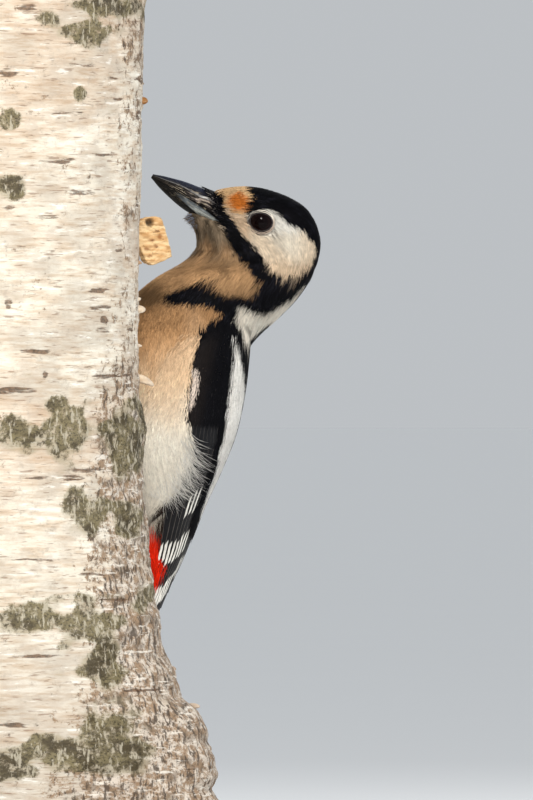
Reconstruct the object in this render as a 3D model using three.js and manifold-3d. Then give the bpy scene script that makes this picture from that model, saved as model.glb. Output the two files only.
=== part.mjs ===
// A great spotted woodpecker (adult female), life size, clinging to a short length of birch trunk that two rods
// hold over a flat display base. Millimetres, +Z up, origin at the centre of the base's underside.
//
// The bird is laid out in its own body frame, whose X axis points from the trunk's axis out through the bird's
// back, Y to its right and Z up. The head has a second frame, with its origin midway between the eyes.
import * as THREE from "three";
import { mergeVertices } from "three/addons/utils/BufferGeometryUtils.js";
import Module from "manifold-3d";

const wasm = await Module();
wasm.setup();

// ---------------------------------------------------------------- driving dimensions
const GAP = 0.3; // clearance left between neighbouring solids
const BASE_RADIUS = 118;
const BASE_THICKNESS = 14;
const BASE_BEVEL = 2;
const ROD_RADIUS = 5;
const ROD_SPACING = 84;
const ROD_SEAT = 7; // depth of a rod's hole in the base
const ROD_GRIP = 22; // depth of a rod's hole in the trunk
const OVERSHOOT = 5; // how far a drill passes the face it opens
const TRUNK_AXIS = new THREE.Vector2(-30, -10);
const TRUNK_RADIUS = 80;
const TRUNK_BOTTOM = 50;
const TRUNK_TOP = 328;
const BODY_AZIMUTH = 38; // where round the trunk the bird clings, in degrees from +X
const HEAD_TURN = -38; // the head's yaw from the body, to the bird's right
const HEAD_PITCH = 30.5; // how far the bill points above the horizontal
const EYE_MIDPOINT = new THREE.Vector3(121.7, 85, 247.5); // from the foot of the trunk's axis
const EYEBALL_RADIUS = 4.5;
const EYE_HALF_SPACING = 9.8;
const TAIL_LENGTH = 86;
const TARSUS_LENGTH = 22;

const MATERIALS = {
  crown: { color: 0x14151a, roughness: 0.5 },
  buff: { color: 0xc9a071, roughness: 0.85 },
  black: { color: 0x17171c, roughness: 0.5 },
  red: { color: 0xd8301a, roughness: 0.8 },
  flight: { color: 0x201d1c, roughness: 0.5 },
  horn: { color: 0x4a4c50, roughness: 0.35 },
  eye: { color: 0x2a0d0a, roughness: 0.08 },
  leg: { color: 0x6f6b5e, roughness: 0.6 },
  claw: { color: 0x2c2a28, roughness: 0.4 },
  bark: { color: 0xd9d0c2, roughness: 0.9 },
  wood: { color: 0xcf9d5e, roughness: 0.85 },
  base: { color: 0x5a3d28, roughness: 0.5 },
  rod: { color: 0x8d8f92, roughness: 0.3, metalness: 1 },
};

const rad = THREE.MathUtils.degToRad;
const lerp = THREE.MathUtils.lerp;

// ---------------------------------------------------------------- solids
// A closed solid through rings of equal point count. Each end is closed across, from the ring's first and
// last points towards its middle ones, so a thin bent ring closes as well as a round one.
function loft(rings) {
  const n = rings[0].length;
  const last = rings.length - 1;
  const positions = rings.flat().flatMap((p) => [p.x, p.y, p.z]);
  const index = [];
  for (let j = 0; j < last; j++)
    for (let i = 0; i < n; i++) {
      const a = j * n + i;
      const b = j * n + ((i + 1) % n);
      index.push(a, b, b + n, a, b + n, a + n);
    }
  for (const j of [0, last]) {
    const close = (a, b, c) => index.push(...(j === 0 ? [a, c, b] : [a, b, c]).map((i) => j * n + i));
    for (let low = 0, high = n - 1; high - low > 1; ) {
      close(low, low + 1, high);
      low += 1;
      if (high - low > 1) close(low, high - 1, high);
      high -= 1;
    }
  }
  return facingOut(positions, index);
}

// The geometry of a closed surface, its faces turned outwards whichever way its rings ran.
function facingOut(positions, index) {
  const corner = (i) => new THREE.Vector3().fromArray(positions, 3 * i);
  let volume = 0;
  for (let i = 0; i < index.length; i += 3)
    volume += corner(index[i]).dot(corner(index[i + 1]).cross(corner(index[i + 2])));
  if (volume < 0) index.reverse();
  const geometry = new THREE.BufferGeometry();
  geometry.setAttribute("position", new THREE.Float32BufferAttribute(positions, 3));
  geometry.setIndex(index);
  return geometry;
}

function solidOf(geometry) {
  const bare = geometry.clone();
  bare.deleteAttribute("normal");
  bare.deleteAttribute("uv");
  const merged = mergeVertices(bare, 1e-4);
  return new wasm.Manifold(
    new wasm.Mesh({
      numProp: 3,
      vertProperties: merged.attributes.position.array,
      triVerts: new Uint32Array(merged.index.array),
    }),
  );
}

function geometryOf(solid) {
  const { numProp, vertProperties, triVerts } = solid.getMesh();
  const positions = [];
  for (let i = 0; i < vertProperties.length; i += numProp)
    positions.push(vertProperties[i], vertProperties[i + 1], vertProperties[i + 2]);
  const geometry = new THREE.BufferGeometry();
  geometry.setAttribute("position", new THREE.Float32BufferAttribute(positions, 3));
  geometry.setIndex([...triVerts]);
  return geometry;
}

const cut = (geometry, ...tools) =>
  geometryOf(tools.reduce((left, tool) => left.subtract(solidOf(tool)), solidOf(geometry)));

const join = (geometries) =>
  geometryOf(geometries.map(solidOf).reduce((sum, next) => sum.add(next)));

// A round limb along a smooth curve. radii are spread evenly along it; both ends are domed.
function limb(points, radii, { sides = 7, steps = 5, grow = 0 } = {}) {
  const curve = new THREE.CatmullRomCurve3(points);
  const frames = curve.computeFrenetFrames(steps);
  const rings = [];
  for (let j = 0; j <= steps; j++) {
    const t = j / steps;
    const place = t * (radii.length - 1);
    const k = Math.min(Math.floor(place), radii.length - 2);
    const dome = j === 0 || j === steps ? 0.55 : 1;
    const r = dome * (lerp(radii[k], radii[k + 1], place - k) + grow);
    const centre = curve.getPoint(t);
    if (j === 0) centre.addScaledVector(frames.tangents[0], -grow);
    if (j === steps) centre.addScaledVector(frames.tangents[steps], grow);
    rings.push(
      Array.from({ length: sides }, (_, i) => {
        const angle = (2 * Math.PI * i) / sides;
        return centre
          .clone()
          .addScaledVector(frames.normals[j], r * Math.cos(angle))
          .addScaledVector(frames.binormals[j], r * Math.sin(angle));
      }),
    );
  }
  return loft(rings);
}

// A feather blade along a curve, lens-shaped across. halfWidth is a function of 0 at the root to 1 at the tip.
function blade(points, across, halfWidth, thickness, { steps }) {
  const curve = new THREE.CatmullRomCurve3(points);
  const sides = 6;
  const rings = [];
  for (let j = 0; j <= steps; j++) {
    const t = j / steps;
    const centre = curve.getPoint(t);
    const along = curve.getTangent(t);
    const side = across.clone().addScaledVector(along, -across.dot(along)).normalize();
    const out = new THREE.Vector3().crossVectors(side, along);
    rings.push(
      Array.from({ length: sides }, (_, i) => {
        const angle = (2 * Math.PI * i) / sides;
        return centre
          .clone()
          .addScaledVector(side, halfWidth(t) * Math.cos(angle))
          .addScaledVector(out, (thickness / 2) * Math.sin(angle));
      }),
    );
  }
  return loft(rings);
}

// A table of numbers read at any place between its first and last row, smoothly.
function blend(rows) {
  const last = rows.length - 1;
  return (t) => {
    const place = THREE.MathUtils.clamp(t, 0, 1) * last;
    const k = Math.min(Math.floor(place), last - 1);
    const f = place - k;
    return rows[k].map((p1, i) => {
      const p2 = rows[k + 1][i];
      const p0 = k > 0 ? rows[k - 1][i] : 2 * p1 - p2;
      const p3 = k < last - 1 ? rows[k + 2][i] : 2 * p2 - p1;
      const bend = 2 * p0 - 5 * p1 + 4 * p2 - p3 + f * (3 * (p1 - p2) + p3 - p0);
      return p1 + 0.5 * f * (p2 - p0 + f * bend);
    });
  };
}

// ---------------------------------------------------------------- birch trunk
const FLARE_AZIMUTH = -12;
const FLARE_SPREAD = 20;
// How far the flared foot of the trunk stands out of the round at each height.
const FLARE = [
  [50, 27.5],
  [63, 26],
  [72, 24.4],
  [79, 21.6],
  [85, 18.3],
  [91, 13.4],
  [97, 10.6],
  [104, 7.8],
  [116, 6],
  [126, 3.8],
  [140, 1.6],
  [156, 0],
];
const TRUNK_ROWS = [176, 200, 224, 248, 272, 300, TRUNK_TOP];

function flareAt(z) {
  const k = FLARE.findIndex(([height]) => height > z);
  if (k < 1) return z < FLARE[0][0] ? FLARE[0][1] : 0;
  const [[low, wide], [high, narrow]] = [FLARE[k - 1], FLARE[k]];
  return lerp(wide, narrow, (z - low) / (high - low));
}

// Distance of the bark from the trunk's axis. The azimuth is in degrees in the world frame.
function barkRadius(azimuth, z) {
  const oval = 2.8 * Math.cos(rad(2 * (azimuth + 22.5)));
  const knots = 0.7 * Math.sin(z / 31 + rad(2 * azimuth)) + 0.5 * Math.sin(z / 17 - rad(3 * azimuth));
  const away = THREE.MathUtils.euclideanModulo(azimuth - FLARE_AZIMUTH + 180, 360) - 180;
  return TRUNK_RADIUS + oval + knots + flareAt(z) * Math.exp(-0.5 * (away / FLARE_SPREAD) ** 2);
}

// A point of the body frame over the bark: side is the arc length to the bird's right, height is off the bark.
function overBark(side, z, height) {
  const turn = THREE.MathUtils.radToDeg(side / TRUNK_RADIUS);
  const r = barkRadius(BODY_AZIMUTH + turn, z) + height;
  return new THREE.Vector3(r * Math.cos(rad(turn)), r * Math.sin(rad(turn)), z);
}

function rodPlaces() {
  return [-0.5, 0.5].map((share) => new THREE.Vector2(TRUNK_AXIS.x, TRUNK_AXIS.y + share * ROD_SPACING));
}

function cylinder(radius, bottom, top, place, segments = 24) {
  return new THREE.CylinderGeometry(radius, radius, top - bottom, segments)
    .rotateX(Math.PI / 2)
    .translate(place.x, place.y, (bottom + top) / 2);
}

function trunkGeometry() {
  const around = 32;
  const rings = [...FLARE.map(([z]) => z), ...TRUNK_ROWS].map((z) =>
    Array.from({ length: around }, (_, i) => {
      const azimuth = (360 * i) / around;
      const r = barkRadius(azimuth, z);
      return new THREE.Vector3(
        TRUNK_AXIS.x + r * Math.cos(rad(azimuth)),
        TRUNK_AXIS.y + r * Math.sin(rad(azimuth)),
        z,
      );
    }),
  );
  const sockets = rodPlaces().map((p) =>
    cylinder(ROD_RADIUS + GAP, TRUNK_BOTTOM - OVERSHOOT, TRUNK_BOTTOM + ROD_GRIP + GAP, p),
  );
  return cut(loft(rings), ...sockets);
}

// A splinter of pale wood that stands out of the bark beside the bird's bill.
const SPLINTER = { azimuth: 21, height: 241.5, reach: 15.5, tall: 14.5, thick: 4.5, lean: 5 };

function splinterGeometry() {
  const { reach, tall, thick, azimuth, height, lean } = SPLINTER;
  const outline = new THREE.Shape([
    new THREE.Vector2(0, -0.34 * tall),
    new THREE.Vector2(0.42 * reach, -0.5 * tall),
    new THREE.Vector2(reach, -0.4 * tall),
    new THREE.Vector2(0.78 * reach, 0.5 * tall),
    new THREE.Vector2(0.36 * reach, 0.44 * tall),
    new THREE.Vector2(0, 0.26 * tall),
  ]);
  const bevel = { bevelThickness: 0.5, bevelSize: 0.5, bevelSegments: 1 };
  const root = barkRadius(azimuth, height) + bevel.bevelSize + GAP;
  return new THREE.ExtrudeGeometry(outline, { depth: thick - 1, ...bevel })
    .translate(0, 0, (1 - thick) / 2)
    .rotateX(Math.PI / 2)
    .rotateX(rad(lean))
    .translate(root, 0, height)
    .rotateZ(rad(azimuth))
    .translate(TRUNK_AXIS.x, TRUNK_AXIS.y, 0);
}

// ---------------------------------------------------------------- display stand
function baseGeometry() {
  const profile = [
    [0, 0],
    [BASE_RADIUS, 0],
    [BASE_RADIUS, BASE_THICKNESS - BASE_BEVEL],
    [BASE_RADIUS - BASE_BEVEL, BASE_THICKNESS],
    [0, BASE_THICKNESS],
  ].map(([r, z]) => new THREE.Vector2(r, z));
  const disc = new THREE.LatheGeometry(profile, 48).rotateX(Math.PI / 2);
  const seats = rodPlaces().map((p) =>
    cylinder(ROD_RADIUS + GAP, BASE_THICKNESS - ROD_SEAT - GAP, BASE_THICKNESS + OVERSHOOT, p),
  );
  return cut(disc, ...seats);
}

const rodGeometry = (place) =>
  cylinder(ROD_RADIUS, BASE_THICKNESS - ROD_SEAT, TRUNK_BOTTOM + ROD_GRIP, place);

// ---------------------------------------------------------------- head frame
const toBody = (v) => v.applyAxisAngle(new THREE.Vector3(0, 0, 1), rad(-BODY_AZIMUTH));
const FORWARD = toBody(new THREE.Vector3(-Math.cos(rad(HEAD_PITCH)), 0, Math.sin(rad(HEAD_PITCH))));
const CROWNWARD = toBody(new THREE.Vector3(Math.sin(rad(HEAD_PITCH)), 0, Math.cos(rad(HEAD_PITCH))));
const HEAD_LEFT = toBody(new THREE.Vector3(0, -1, 0));
const HEAD_CENTRE = toBody(EYE_MIDPOINT.clone());

function inHead(forward, up, left = 0) {
  return HEAD_CENTRE.clone()
    .addScaledVector(FORWARD, forward)
    .addScaledVector(CROWNWARD, up)
    .addScaledVector(HEAD_LEFT, left);
}

// ---------------------------------------------------------------- body
// Stations from the undertail to the face. Each has a point on the bird's back or crown, one on its belly or
// throat, the half width there, its yaw and how far the widest place sits towards the belly.
function torsoStation(z, back, belly, half, fullness = 0.05) {
  return { back: [back, 0, z], belly: [belly, 0, z], half, yaw: 0, fullness };
}

function neckStation(back, belly, half, yaw) {
  return { back, belly, half, yaw, fullness: 0.02 };
}

// The crown's and the throat's point are given ahead of and above the eyes.
function headStation(crown, throat, half, yaw = HEAD_TURN, fullness = 0.1) {
  return { back: inHead(...crown).toArray(), belly: inHead(...throat).toArray(), half, yaw, fullness };
}

const STATIONS = [
  torsoStation(109, 95.4, 91.4, 6),
  torsoStation(119, 103.5, 88.8, 10.5),
  torsoStation(129, 110, 88, 13.5),
  torsoStation(138, 115.5, 86.6, 16),
  torsoStation(152, 122.8, 84.6, 19.6),
  torsoStation(165, 130, 83.9, 22.4),
  torsoStation(178, 136, 85, 23.6),
  torsoStation(191, 140.2, 88.8, 23.6),
  torsoStation(203, 142.6, 92.6, 22.6),
  neckStation([147.6, -2.2, 209.3], [94.4, 0, 211.5], 21.6, -3),
  neckStation([153.4, -5.6, 214.3], [98.4, 0, 218.8], 20.2, -8),
  neckStation([158.5, -10.2, 220.2], [105, 0, 225], 18.6, -14),
  neckStation([162.4, -14.6, 227], [112.8, 0.2, 230], 17, -20),
  neckStation([163.6, -16.4, 231], [119.8, 0.8, 232.8], 15.9, -26),
  headStation([-22.8, -1.5], [13.6, -20], 14.5, -32, 0.04),
  headStation([-20.7, 4], [14.4, -18], 14.2, -36, 0.06),
  headStation([-16.5, 8.6], [15.4, -16.2], 13.8),
  headStation([-11, 11.6], [16.3, -14.9], 13.2),
  headStation([-5.3, 12.1], [17.4, -13.9], 12.5),
  headStation([0.3, 11.4], [18.6, -13], 11.6),
  headStation([5.3, 10.1], [19.8, -12.2], 10.4),
  headStation([9.8, 8.2], [21, -11.4], 9),
  headStation([13.6, 5.8], [22, -10.9], 7.6),
  headStation([16.8, 3.2], [22.8, -10.5], 6.3),
  headStation([19, 1], [23.3, -10.2], 5.3),
];
const FACE_END = STATIONS.length - 1;

// Where the body is parted, in stations, with the distance between the stations there.
const VENT_TOP = { at: 3.6, spacing: 13 };
const TORSO_TOP = { at: 9.6, spacing: 6 };
const NECK_TOP = { at: 14, spacing: 4 };
const below = ({ at, spacing }) => at - GAP / 2 / spacing;
const above = ({ at, spacing }) => at + GAP / 2 / spacing;

const alongBody = blend(
  STATIONS.map(({ back, belly, half, yaw, fullness }) => [...back, ...belly, half, yaw, fullness]),
);

// The body's closed outline at a station number, from the belly round by the left side. Fractions are allowed.
function bodyRing(station, around) {
  const [bx, by, bz, vx, vy, vz, half, yaw, fullness] = alongBody(station / FACE_END);
  const back = new THREE.Vector3(bx, by, bz);
  const belly = new THREE.Vector3(vx, vy, vz);
  const centre = back.clone().add(belly).divideScalar(2);
  const depth = back.sub(centre);
  const left = new THREE.Vector3(Math.sin(rad(yaw)), -Math.cos(rad(yaw)), 0);
  return Array.from({ length: around }, (_, i) => {
    const angle = (2 * Math.PI * i) / around;
    const width = half * Math.sin(angle) * (1 + fullness * Math.cos(angle));
    return centre.clone().addScaledVector(depth, -Math.cos(angle)).addScaledVector(left, width);
  });
}

function bodyPiece(from, to, around = 26) {
  const steps = Math.ceil((to - from) * 1.2);
  return loft(Array.from({ length: steps + 1 }, (_, j) => bodyRing(lerp(from, to, j / steps), around)));
}

// ---------------------------------------------------------------- wings
// The folded wing wraps the body at a height z: centre, depth and width of the outer surface, the angles round
// it of the lower and upper edge (0 at the belly, 180 at the back) and the thickness.
const WING_STATIONS = [
  // z, centre, depth, width, lower edge, upper edge, thickness
  [217.5, 121.5, 21.6, 21.4, 106, 114, 0.8],
  [213, 120.8, 23.1, 22.9, 82, 134, 2.2],
  [204, 118.6, 24.6, 24.2, 71, 146, 3.2],
  [190, 114.6, 26.2, 25.6, 68, 155, 3.2],
  [177, 110.6, 26.2, 25.6, 68, 162, 3],
  [165, 107.2, 23.8, 24.1, 71, 168, 2.7],
  [152, 104, 20, 21.2, 75, 172, 2.4],
  [137, 102.6, 14.6, 17.4, 76, 173, 2],
  [129, 101, 11.6, 15.6, 76, 173, 1.8],
  [121, 99.2, 9, 14, 78, 172, 1.6],
  [108, 94.4, 6.8, 11.4, 84, 168, 1.3],
  [96, 90.2, 5.4, 8.4, 96, 158, 1.1],
  [89, 88, 4.6, 6.4, 118, 142, 0.9],
];
const alongWing = blend(WING_STATIONS);
const WING_END = WING_STATIONS.length - 1;
const COVERT_END = { at: 5.9, spacing: 13 }; // where the primaries come out from under the other feathers

// side is -1 for the left wing and 1 for the right. grow swells the solid, for cutting its neighbours.
function wingRing(station, side, grow) {
  const [z, centre, depth, width, lower, upper, thickness] = alongWing(station / WING_END);
  const arc = 7;
  const spread = THREE.MathUtils.radToDeg(grow / width);
  const point = (share, inset) => {
    const angle = rad(lerp(lower - spread, upper + spread, share));
    const x = centre - (depth + grow - inset) * Math.cos(angle);
    const y = side * (width + grow - inset) * Math.sin(angle);
    return new THREE.Vector3(x, y, z);
  };
  const outer = Array.from({ length: arc + 1 }, (_, i) => point(i / arc, 0));
  const inner = Array.from({ length: arc + 1 }, (_, i) => {
    const share = 1 - i / arc;
    const full = Math.sin(Math.PI * share) ** 0.5;
    return point(share, lerp(0.6, thickness, full) + 2 * grow);
  });
  return [...outer, ...inner];
}

function wingPiece(from, to, side, grow = 0) {
  const steps = Math.ceil(to - from);
  const rings = Array.from({ length: steps + 1 }, (_, j) => wingRing(lerp(from, to, j / steps), side, grow));
  const rise = Math.sign(rings[0][0].z - rings[steps][0].z) * grow;
  rings[0].forEach((p) => (p.z += rise));
  rings[steps].forEach((p) => (p.z -= rise));
  return loft(rings);
}

// ---------------------------------------------------------------- tail
// The tail's middle line: it leaves the rump leaning in, and its tip lies along the bark.
const TAIL_ROOT = new THREE.Vector3(111.6, 0, 141);
const TAIL_BEND = new THREE.Vector3(96.2, 0, 107);
const TAIL_LOW = new THREE.Vector3(86.2, 0, 81);
const TAIL_TIP = new THREE.Vector3(81.4, 0, 60);
const RECTRIX_SHORTER = [0, 4, 11, 21, 32]; // how much shorter each tail feather is than the middle pair
const RECTRIX_FAN = 2.1; // degrees between neighbouring tail feathers

function tailFeather(pair, side) {
  const reach = 1 - RECTRIX_SHORTER[pair] / TAIL_LENGTH;
  const middle = new THREE.CatmullRomCurve3([TAIL_ROOT, TAIL_BEND, TAIL_LOW, TAIL_TIP]);
  const points = [0, 0.25, 0.5, 0.75, 1].map((share) => {
    const t = share * reach;
    const spread = 0.7 + 0.9 * pair + t * TAIL_LENGTH * Math.tan(rad(RECTRIX_FAN * (pair + 0.45)));
    const sunk = 0.45 * pair * (1 - 0.8 * t);
    return middle.getPoint(t).add(new THREE.Vector3(-sunk, side * spread, 0));
  });
  const halfWidth = (t) => (4.6 - 0.35 * pair) * Math.min(1, 0.62 + 1.6 * t) * Math.sqrt(1.02 - t ** 3);
  return blade(points, new THREE.Vector3(0, 1, 0), halfWidth, 1.3, { steps: 4 });
}

function tailGeometry() {
  const feathers = [];
  for (const pair of RECTRIX_SHORTER.keys())
    for (const side of [-1, 1]) feathers.push(tailFeather(pair, side));
  return join(feathers);
}

// The room that the tail's root takes up inside the rump.
function tailSlot() {
  const top = TAIL_ROOT.clone().add(new THREE.Vector3(0.2, 0, 1.2));
  const middle = new THREE.CatmullRomCurve3([top, TAIL_BEND, TAIL_LOW]);
  const points = [0, 0.33, 0.66, 1].map((t) => middle.getPoint(t).add(new THREE.Vector3(-0.9, 0, 0)));
  return blade(points, new THREE.Vector3(0, 1, 0), (t) => 11 + 9 * t, 5.4, { steps: 4 });
}

// ---------------------------------------------------------------- bill and eyes
// Heights of the bill's ridge, of the line where its halves meet and of its keel, and the half width, by the
// distance ahead of the eyes.
const alongBill = blend([
  // ahead, ridge, meeting line, keel, half width
  [16, 1.4, -7, -9.9, 4.6],
  [20, 0.3, -7, -10.4, 4.5],
  [24, -1, -6.8, -10.5, 4],
  [28, -2.1, -6.2, -10.1, 3.3],
  [32, -3, -5.7, -9.2, 2.5],
  [36, -4, -5.4, -7.6, 1.6],
  [39.2, -4.9, -5.3, -5.8, 0.7],
]);

function billHalf(upper, grow = 0) {
  const steps = 8;
  const arc = 8;
  const rings = [];
  for (let j = 0; j <= steps; j++) {
    const [ahead, ridge, meeting, keel, half] = alongBill(j / steps);
    const slit = (GAP / 2) * (upper ? 1 : -1);
    const rim = meeting + slit - Math.sign(slit) * grow;
    const height = (upper ? ridge : keel) - meeting - slit + Math.sign(slit) * 2 * grow;
    const end = j === 0 ? -grow : j === steps ? grow : 0;
    rings.push(
      Array.from({ length: arc + 1 }, (_, i) => {
        const angle = (Math.PI * i) / arc;
        const across = (half + grow) * Math.cos(angle);
        const rise = height * Math.sin(angle) ** (upper ? 1.25 : 0.9);
        return inHead(ahead + end, rim + rise, across);
      }),
    );
  }
  return loft(rings);
}

function eyeball(side, grow = 0) {
  const centre = inHead(0, 0, side * EYE_HALF_SPACING);
  return new THREE.SphereGeometry(EYEBALL_RADIUS + grow, 12, 8).translate(...centre.toArray());
}

// ---------------------------------------------------------------- legs
// A foot has two toes up the trunk, the long outer toe out to the side and the short hind toe down.
// Turns are in degrees from straight up towards the outer side of the foot.
const TOES = [
  { name: "inner", turn: -20, length: 11.5, radius: 1.2, claw: 7 },
  { name: "middle", turn: 26, length: 15, radius: 1.3, claw: 8 },
  { name: "outer", turn: 70, length: 16, radius: 1.3, claw: 8 },
  { name: "hind", turn: 165, length: 7.5, radius: 1.05, claw: 5.5 },
];
const FEET = {
  left: { side: -1, arc: 17, z: 165 },
  right: { side: 1, arc: 22, z: 174 },
};
const PAD_RADIUS = 2.4;
const PAD_HEIGHT = 3;

const onSole = (foot, turn, distance, height) =>
  overBark(
    foot.side * (foot.arc + distance * Math.sin(rad(turn))),
    foot.z + distance * Math.cos(rad(turn)),
    height,
  );

function toeGeometry(foot, { turn, length, radius }) {
  const start = PAD_RADIUS + GAP + 0.5;
  const knuckle = radius + GAP + 0.9;
  return limb(
    [
      onSole(foot, turn, start, PAD_HEIGHT - 0.6),
      onSole(foot, turn, lerp(start, length, 0.35), knuckle),
      onSole(foot, turn, lerp(start, length, 0.7), radius + GAP + 0.1),
      onSole(foot, turn, length, radius + GAP + 0.3),
    ],
    [0.95 * radius, radius, 1.02 * radius, 0.95 * radius, 0.85 * radius],
  );
}

function clawGeometry(foot, { turn, length, radius, claw }) {
  const start = length + GAP + 0.35;
  const lift = radius + GAP + 0.5;
  return limb(
    [
      onSole(foot, turn, start, lift),
      onSole(foot, turn, start + 0.34 * claw, lift + 0.9),
      onSole(foot, turn, start + 0.68 * claw, lift + 0.2),
      onSole(foot, turn, start + 0.86 * claw, 0.75),
    ],
    [0.8 * radius, 0.75 * radius, 0.55 * radius, 0.3],
    { sides: 6 },
  );
}

const heelOf = (foot) =>
  overBark(foot.side * (foot.arc - 3.5), foot.z - 0.9 * TARSUS_LENGTH, PAD_HEIGHT + 0.4 * TARSUS_LENGTH);

function tarsusGeometry(foot) {
  const sole = onSole(foot, 0, 0, PAD_HEIGHT);
  const heel = heelOf(foot);
  const shin = sole.clone().lerp(heel, 0.5).add(new THREE.Vector3(0.8, 0, 0));
  return limb([sole, shin, heel], [PAD_RADIUS, 1.35, 1.2, 1.3, 1.9], { steps: 6 });
}

function thighGeometry(foot, grow = 0) {
  const heel = heelOf(foot);
  const hip = new THREE.Vector3(107, foot.side * 13, heel.z + 25);
  const start = heel.clone().lerp(hip, 0.12);
  const knee = heel.clone().lerp(hip, 0.55).add(new THREE.Vector3(0, foot.side * 2, -1));
  return limb([start, knee, hip], [2.7, 4.6, 6.8, 8.4, 7.5], { sides: 10, grow });
}

// ---------------------------------------------------------------- the model
const model = new THREE.Group();
const bird = new THREE.Group();
bird.position.set(TRUNK_AXIS.x, TRUNK_AXIS.y, 0);
bird.rotation.z = rad(BODY_AZIMUTH);
model.add(bird);

function add(group, name, geometry, material) {
  const mesh = new THREE.Mesh(geometry, new THREE.MeshStandardMaterial(MATERIALS[material]));
  mesh.name = name;
  group.add(mesh);
}

const SIDES = Object.entries(FEET);
const covertPiece = (side, grow) => wingPiece(0, below(COVERT_END), side, grow);
const primaryPiece = (side, grow) => wingPiece(above(COVERT_END), WING_END, side, grow);
const wingTools = SIDES.flatMap(([, { side }]) => [covertPiece(side, GAP), primaryPiece(side, GAP)]);
const thighTools = SIDES.map(([, foot]) => thighGeometry(foot, GAP));
const tarsusTools = SIDES.map(([, foot]) => tarsusGeometry(foot));
const faceTools = [billHalf(true, GAP), billHalf(false, GAP), eyeball(1, GAP), eyeball(-1, GAP)];

const headPiece = bodyPiece(above(NECK_TOP), FACE_END);
const neckPiece = bodyPiece(above(TORSO_TOP), below(NECK_TOP));
const torsoPiece = bodyPiece(above(VENT_TOP), below(TORSO_TOP));
const ventPiece = bodyPiece(0, below(VENT_TOP));

add(bird, "head", cut(headPiece, ...faceTools), "crown");
add(bird, "neck", cut(neckPiece, ...wingTools), "buff");
add(bird, "torso", cut(torsoPiece, ...wingTools, ...thighTools), "buff");
add(bird, "vent", cut(ventPiece, ...wingTools, ...thighTools, tailSlot()), "red");
add(bird, "tail", cut(tailGeometry(), ...wingTools), "flight");
add(bird, "bill_upper", billHalf(true), "horn");
add(bird, "bill_lower", billHalf(false), "horn");
for (const [name, foot] of SIDES) {
  add(bird, `eye_${name}`, eyeball(-foot.side), "eye");
  add(bird, `wing_${name}`, covertPiece(foot.side), "black");
  add(bird, `primaries_${name}`, primaryPiece(foot.side), "flight");
  add(bird, `thigh_${name}`, cut(thighGeometry(foot), ...tarsusTools, ...wingTools), "buff");
  add(bird, `tarsus_${name}`, tarsusGeometry(foot), "leg");
  for (const toe of TOES) {
    add(bird, `toe_${name}_${toe.name}`, toeGeometry(foot, toe), "leg");
    add(bird, `claw_${name}_${toe.name}`, clawGeometry(foot, toe), "claw");
  }
}
add(model, "perch_trunk", trunkGeometry(), "bark");
add(model, "perch_splinter", splinterGeometry(), "wood");
add(model, "stand_base", baseGeometry(), "base");
rodPlaces().forEach((place, i) => add(model, `stand_rod_${i + 1}`, rodGeometry(place), "rod"));

export default model;
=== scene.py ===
"""The looks of the great spotted woodpecker on its birch trunk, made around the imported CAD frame.

Shapes are worked out in millimetres, the bird's in its body frame (X out through its back, Y to its right, Z
up), and turned into metres of the shared frame as each mesh is made. The bird's outer form is a function of a
station number, from the undertail to the face, and an angle round the body. The skin lies under that form and
the feathers reach up to it.
"""
import math
from itertools import product

import bpy
import numpy as np
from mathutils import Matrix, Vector
from mathutils.kdtree import KDTree


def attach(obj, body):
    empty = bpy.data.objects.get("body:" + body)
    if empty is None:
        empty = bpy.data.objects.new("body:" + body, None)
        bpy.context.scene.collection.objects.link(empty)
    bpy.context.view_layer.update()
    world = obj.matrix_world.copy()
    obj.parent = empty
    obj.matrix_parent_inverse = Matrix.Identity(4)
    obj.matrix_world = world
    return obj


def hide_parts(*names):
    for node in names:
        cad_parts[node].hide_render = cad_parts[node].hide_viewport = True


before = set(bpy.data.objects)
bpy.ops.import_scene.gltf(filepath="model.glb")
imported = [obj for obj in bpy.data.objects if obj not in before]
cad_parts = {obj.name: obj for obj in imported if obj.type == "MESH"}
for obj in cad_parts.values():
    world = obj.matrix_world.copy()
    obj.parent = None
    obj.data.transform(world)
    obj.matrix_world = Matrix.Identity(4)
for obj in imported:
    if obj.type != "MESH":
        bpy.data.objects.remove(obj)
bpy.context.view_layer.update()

MM = 0.001

# ---------------------------------------------------------------- driving dimensions, as in the CAD model
TRUNK_X, TRUNK_Y = -30, -10
TRUNK_RADIUS = 80
TRUNK_BOTTOM, TRUNK_TOP = 50, 328
BODY_AZIMUTH = 38
HEAD_TURN = -38
HEAD_PITCH = 30.5
EYE_MIDPOINT = (121.7, 85, 247.5)
EYEBALL_RADIUS = 4.5
EYE_HALF_SPACING = 9.8
TAIL_LENGTH = 86
TARSUS_LENGTH = 22
BASE_RADIUS, BASE_THICKNESS, BASE_BEVEL = 118, 14, 2
ROD_RADIUS, ROD_SPACING, ROD_BOTTOM, ROD_TOP = 5, 84, 7, 72

# ---------------------------------------------------------------- the photograph's frame
PHOTO_WIDTH, PHOTO_HEIGHT = 533, 800
PIXELS_PER_MM = 3.0
EDGE_PX, EDGE_X = 142, 52  # the trunk's edge: its pixel column and its X in millimetres
FOOT_Z = 55  # height of the photograph's lowest row
BIRD_PLANE_Y = 75
CAMERA_DISTANCE = 5000
SENSOR = 36


def seen(points):
    """Pixel column and row at which the photograph shows points of the model frame."""
    column = EDGE_PX + PIXELS_PER_MM * (points[..., 0] - EDGE_X)
    row = PHOTO_HEIGHT - PIXELS_PER_MM * (points[..., 2] - FOOT_Z)
    return np.stack([column, row], -1)


def nearness(y):
    """How much smaller a length looks at the bird's plane than at depth y."""
    return 1 - (BIRD_PLANE_Y - y) / CAMERA_DISTANCE


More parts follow.
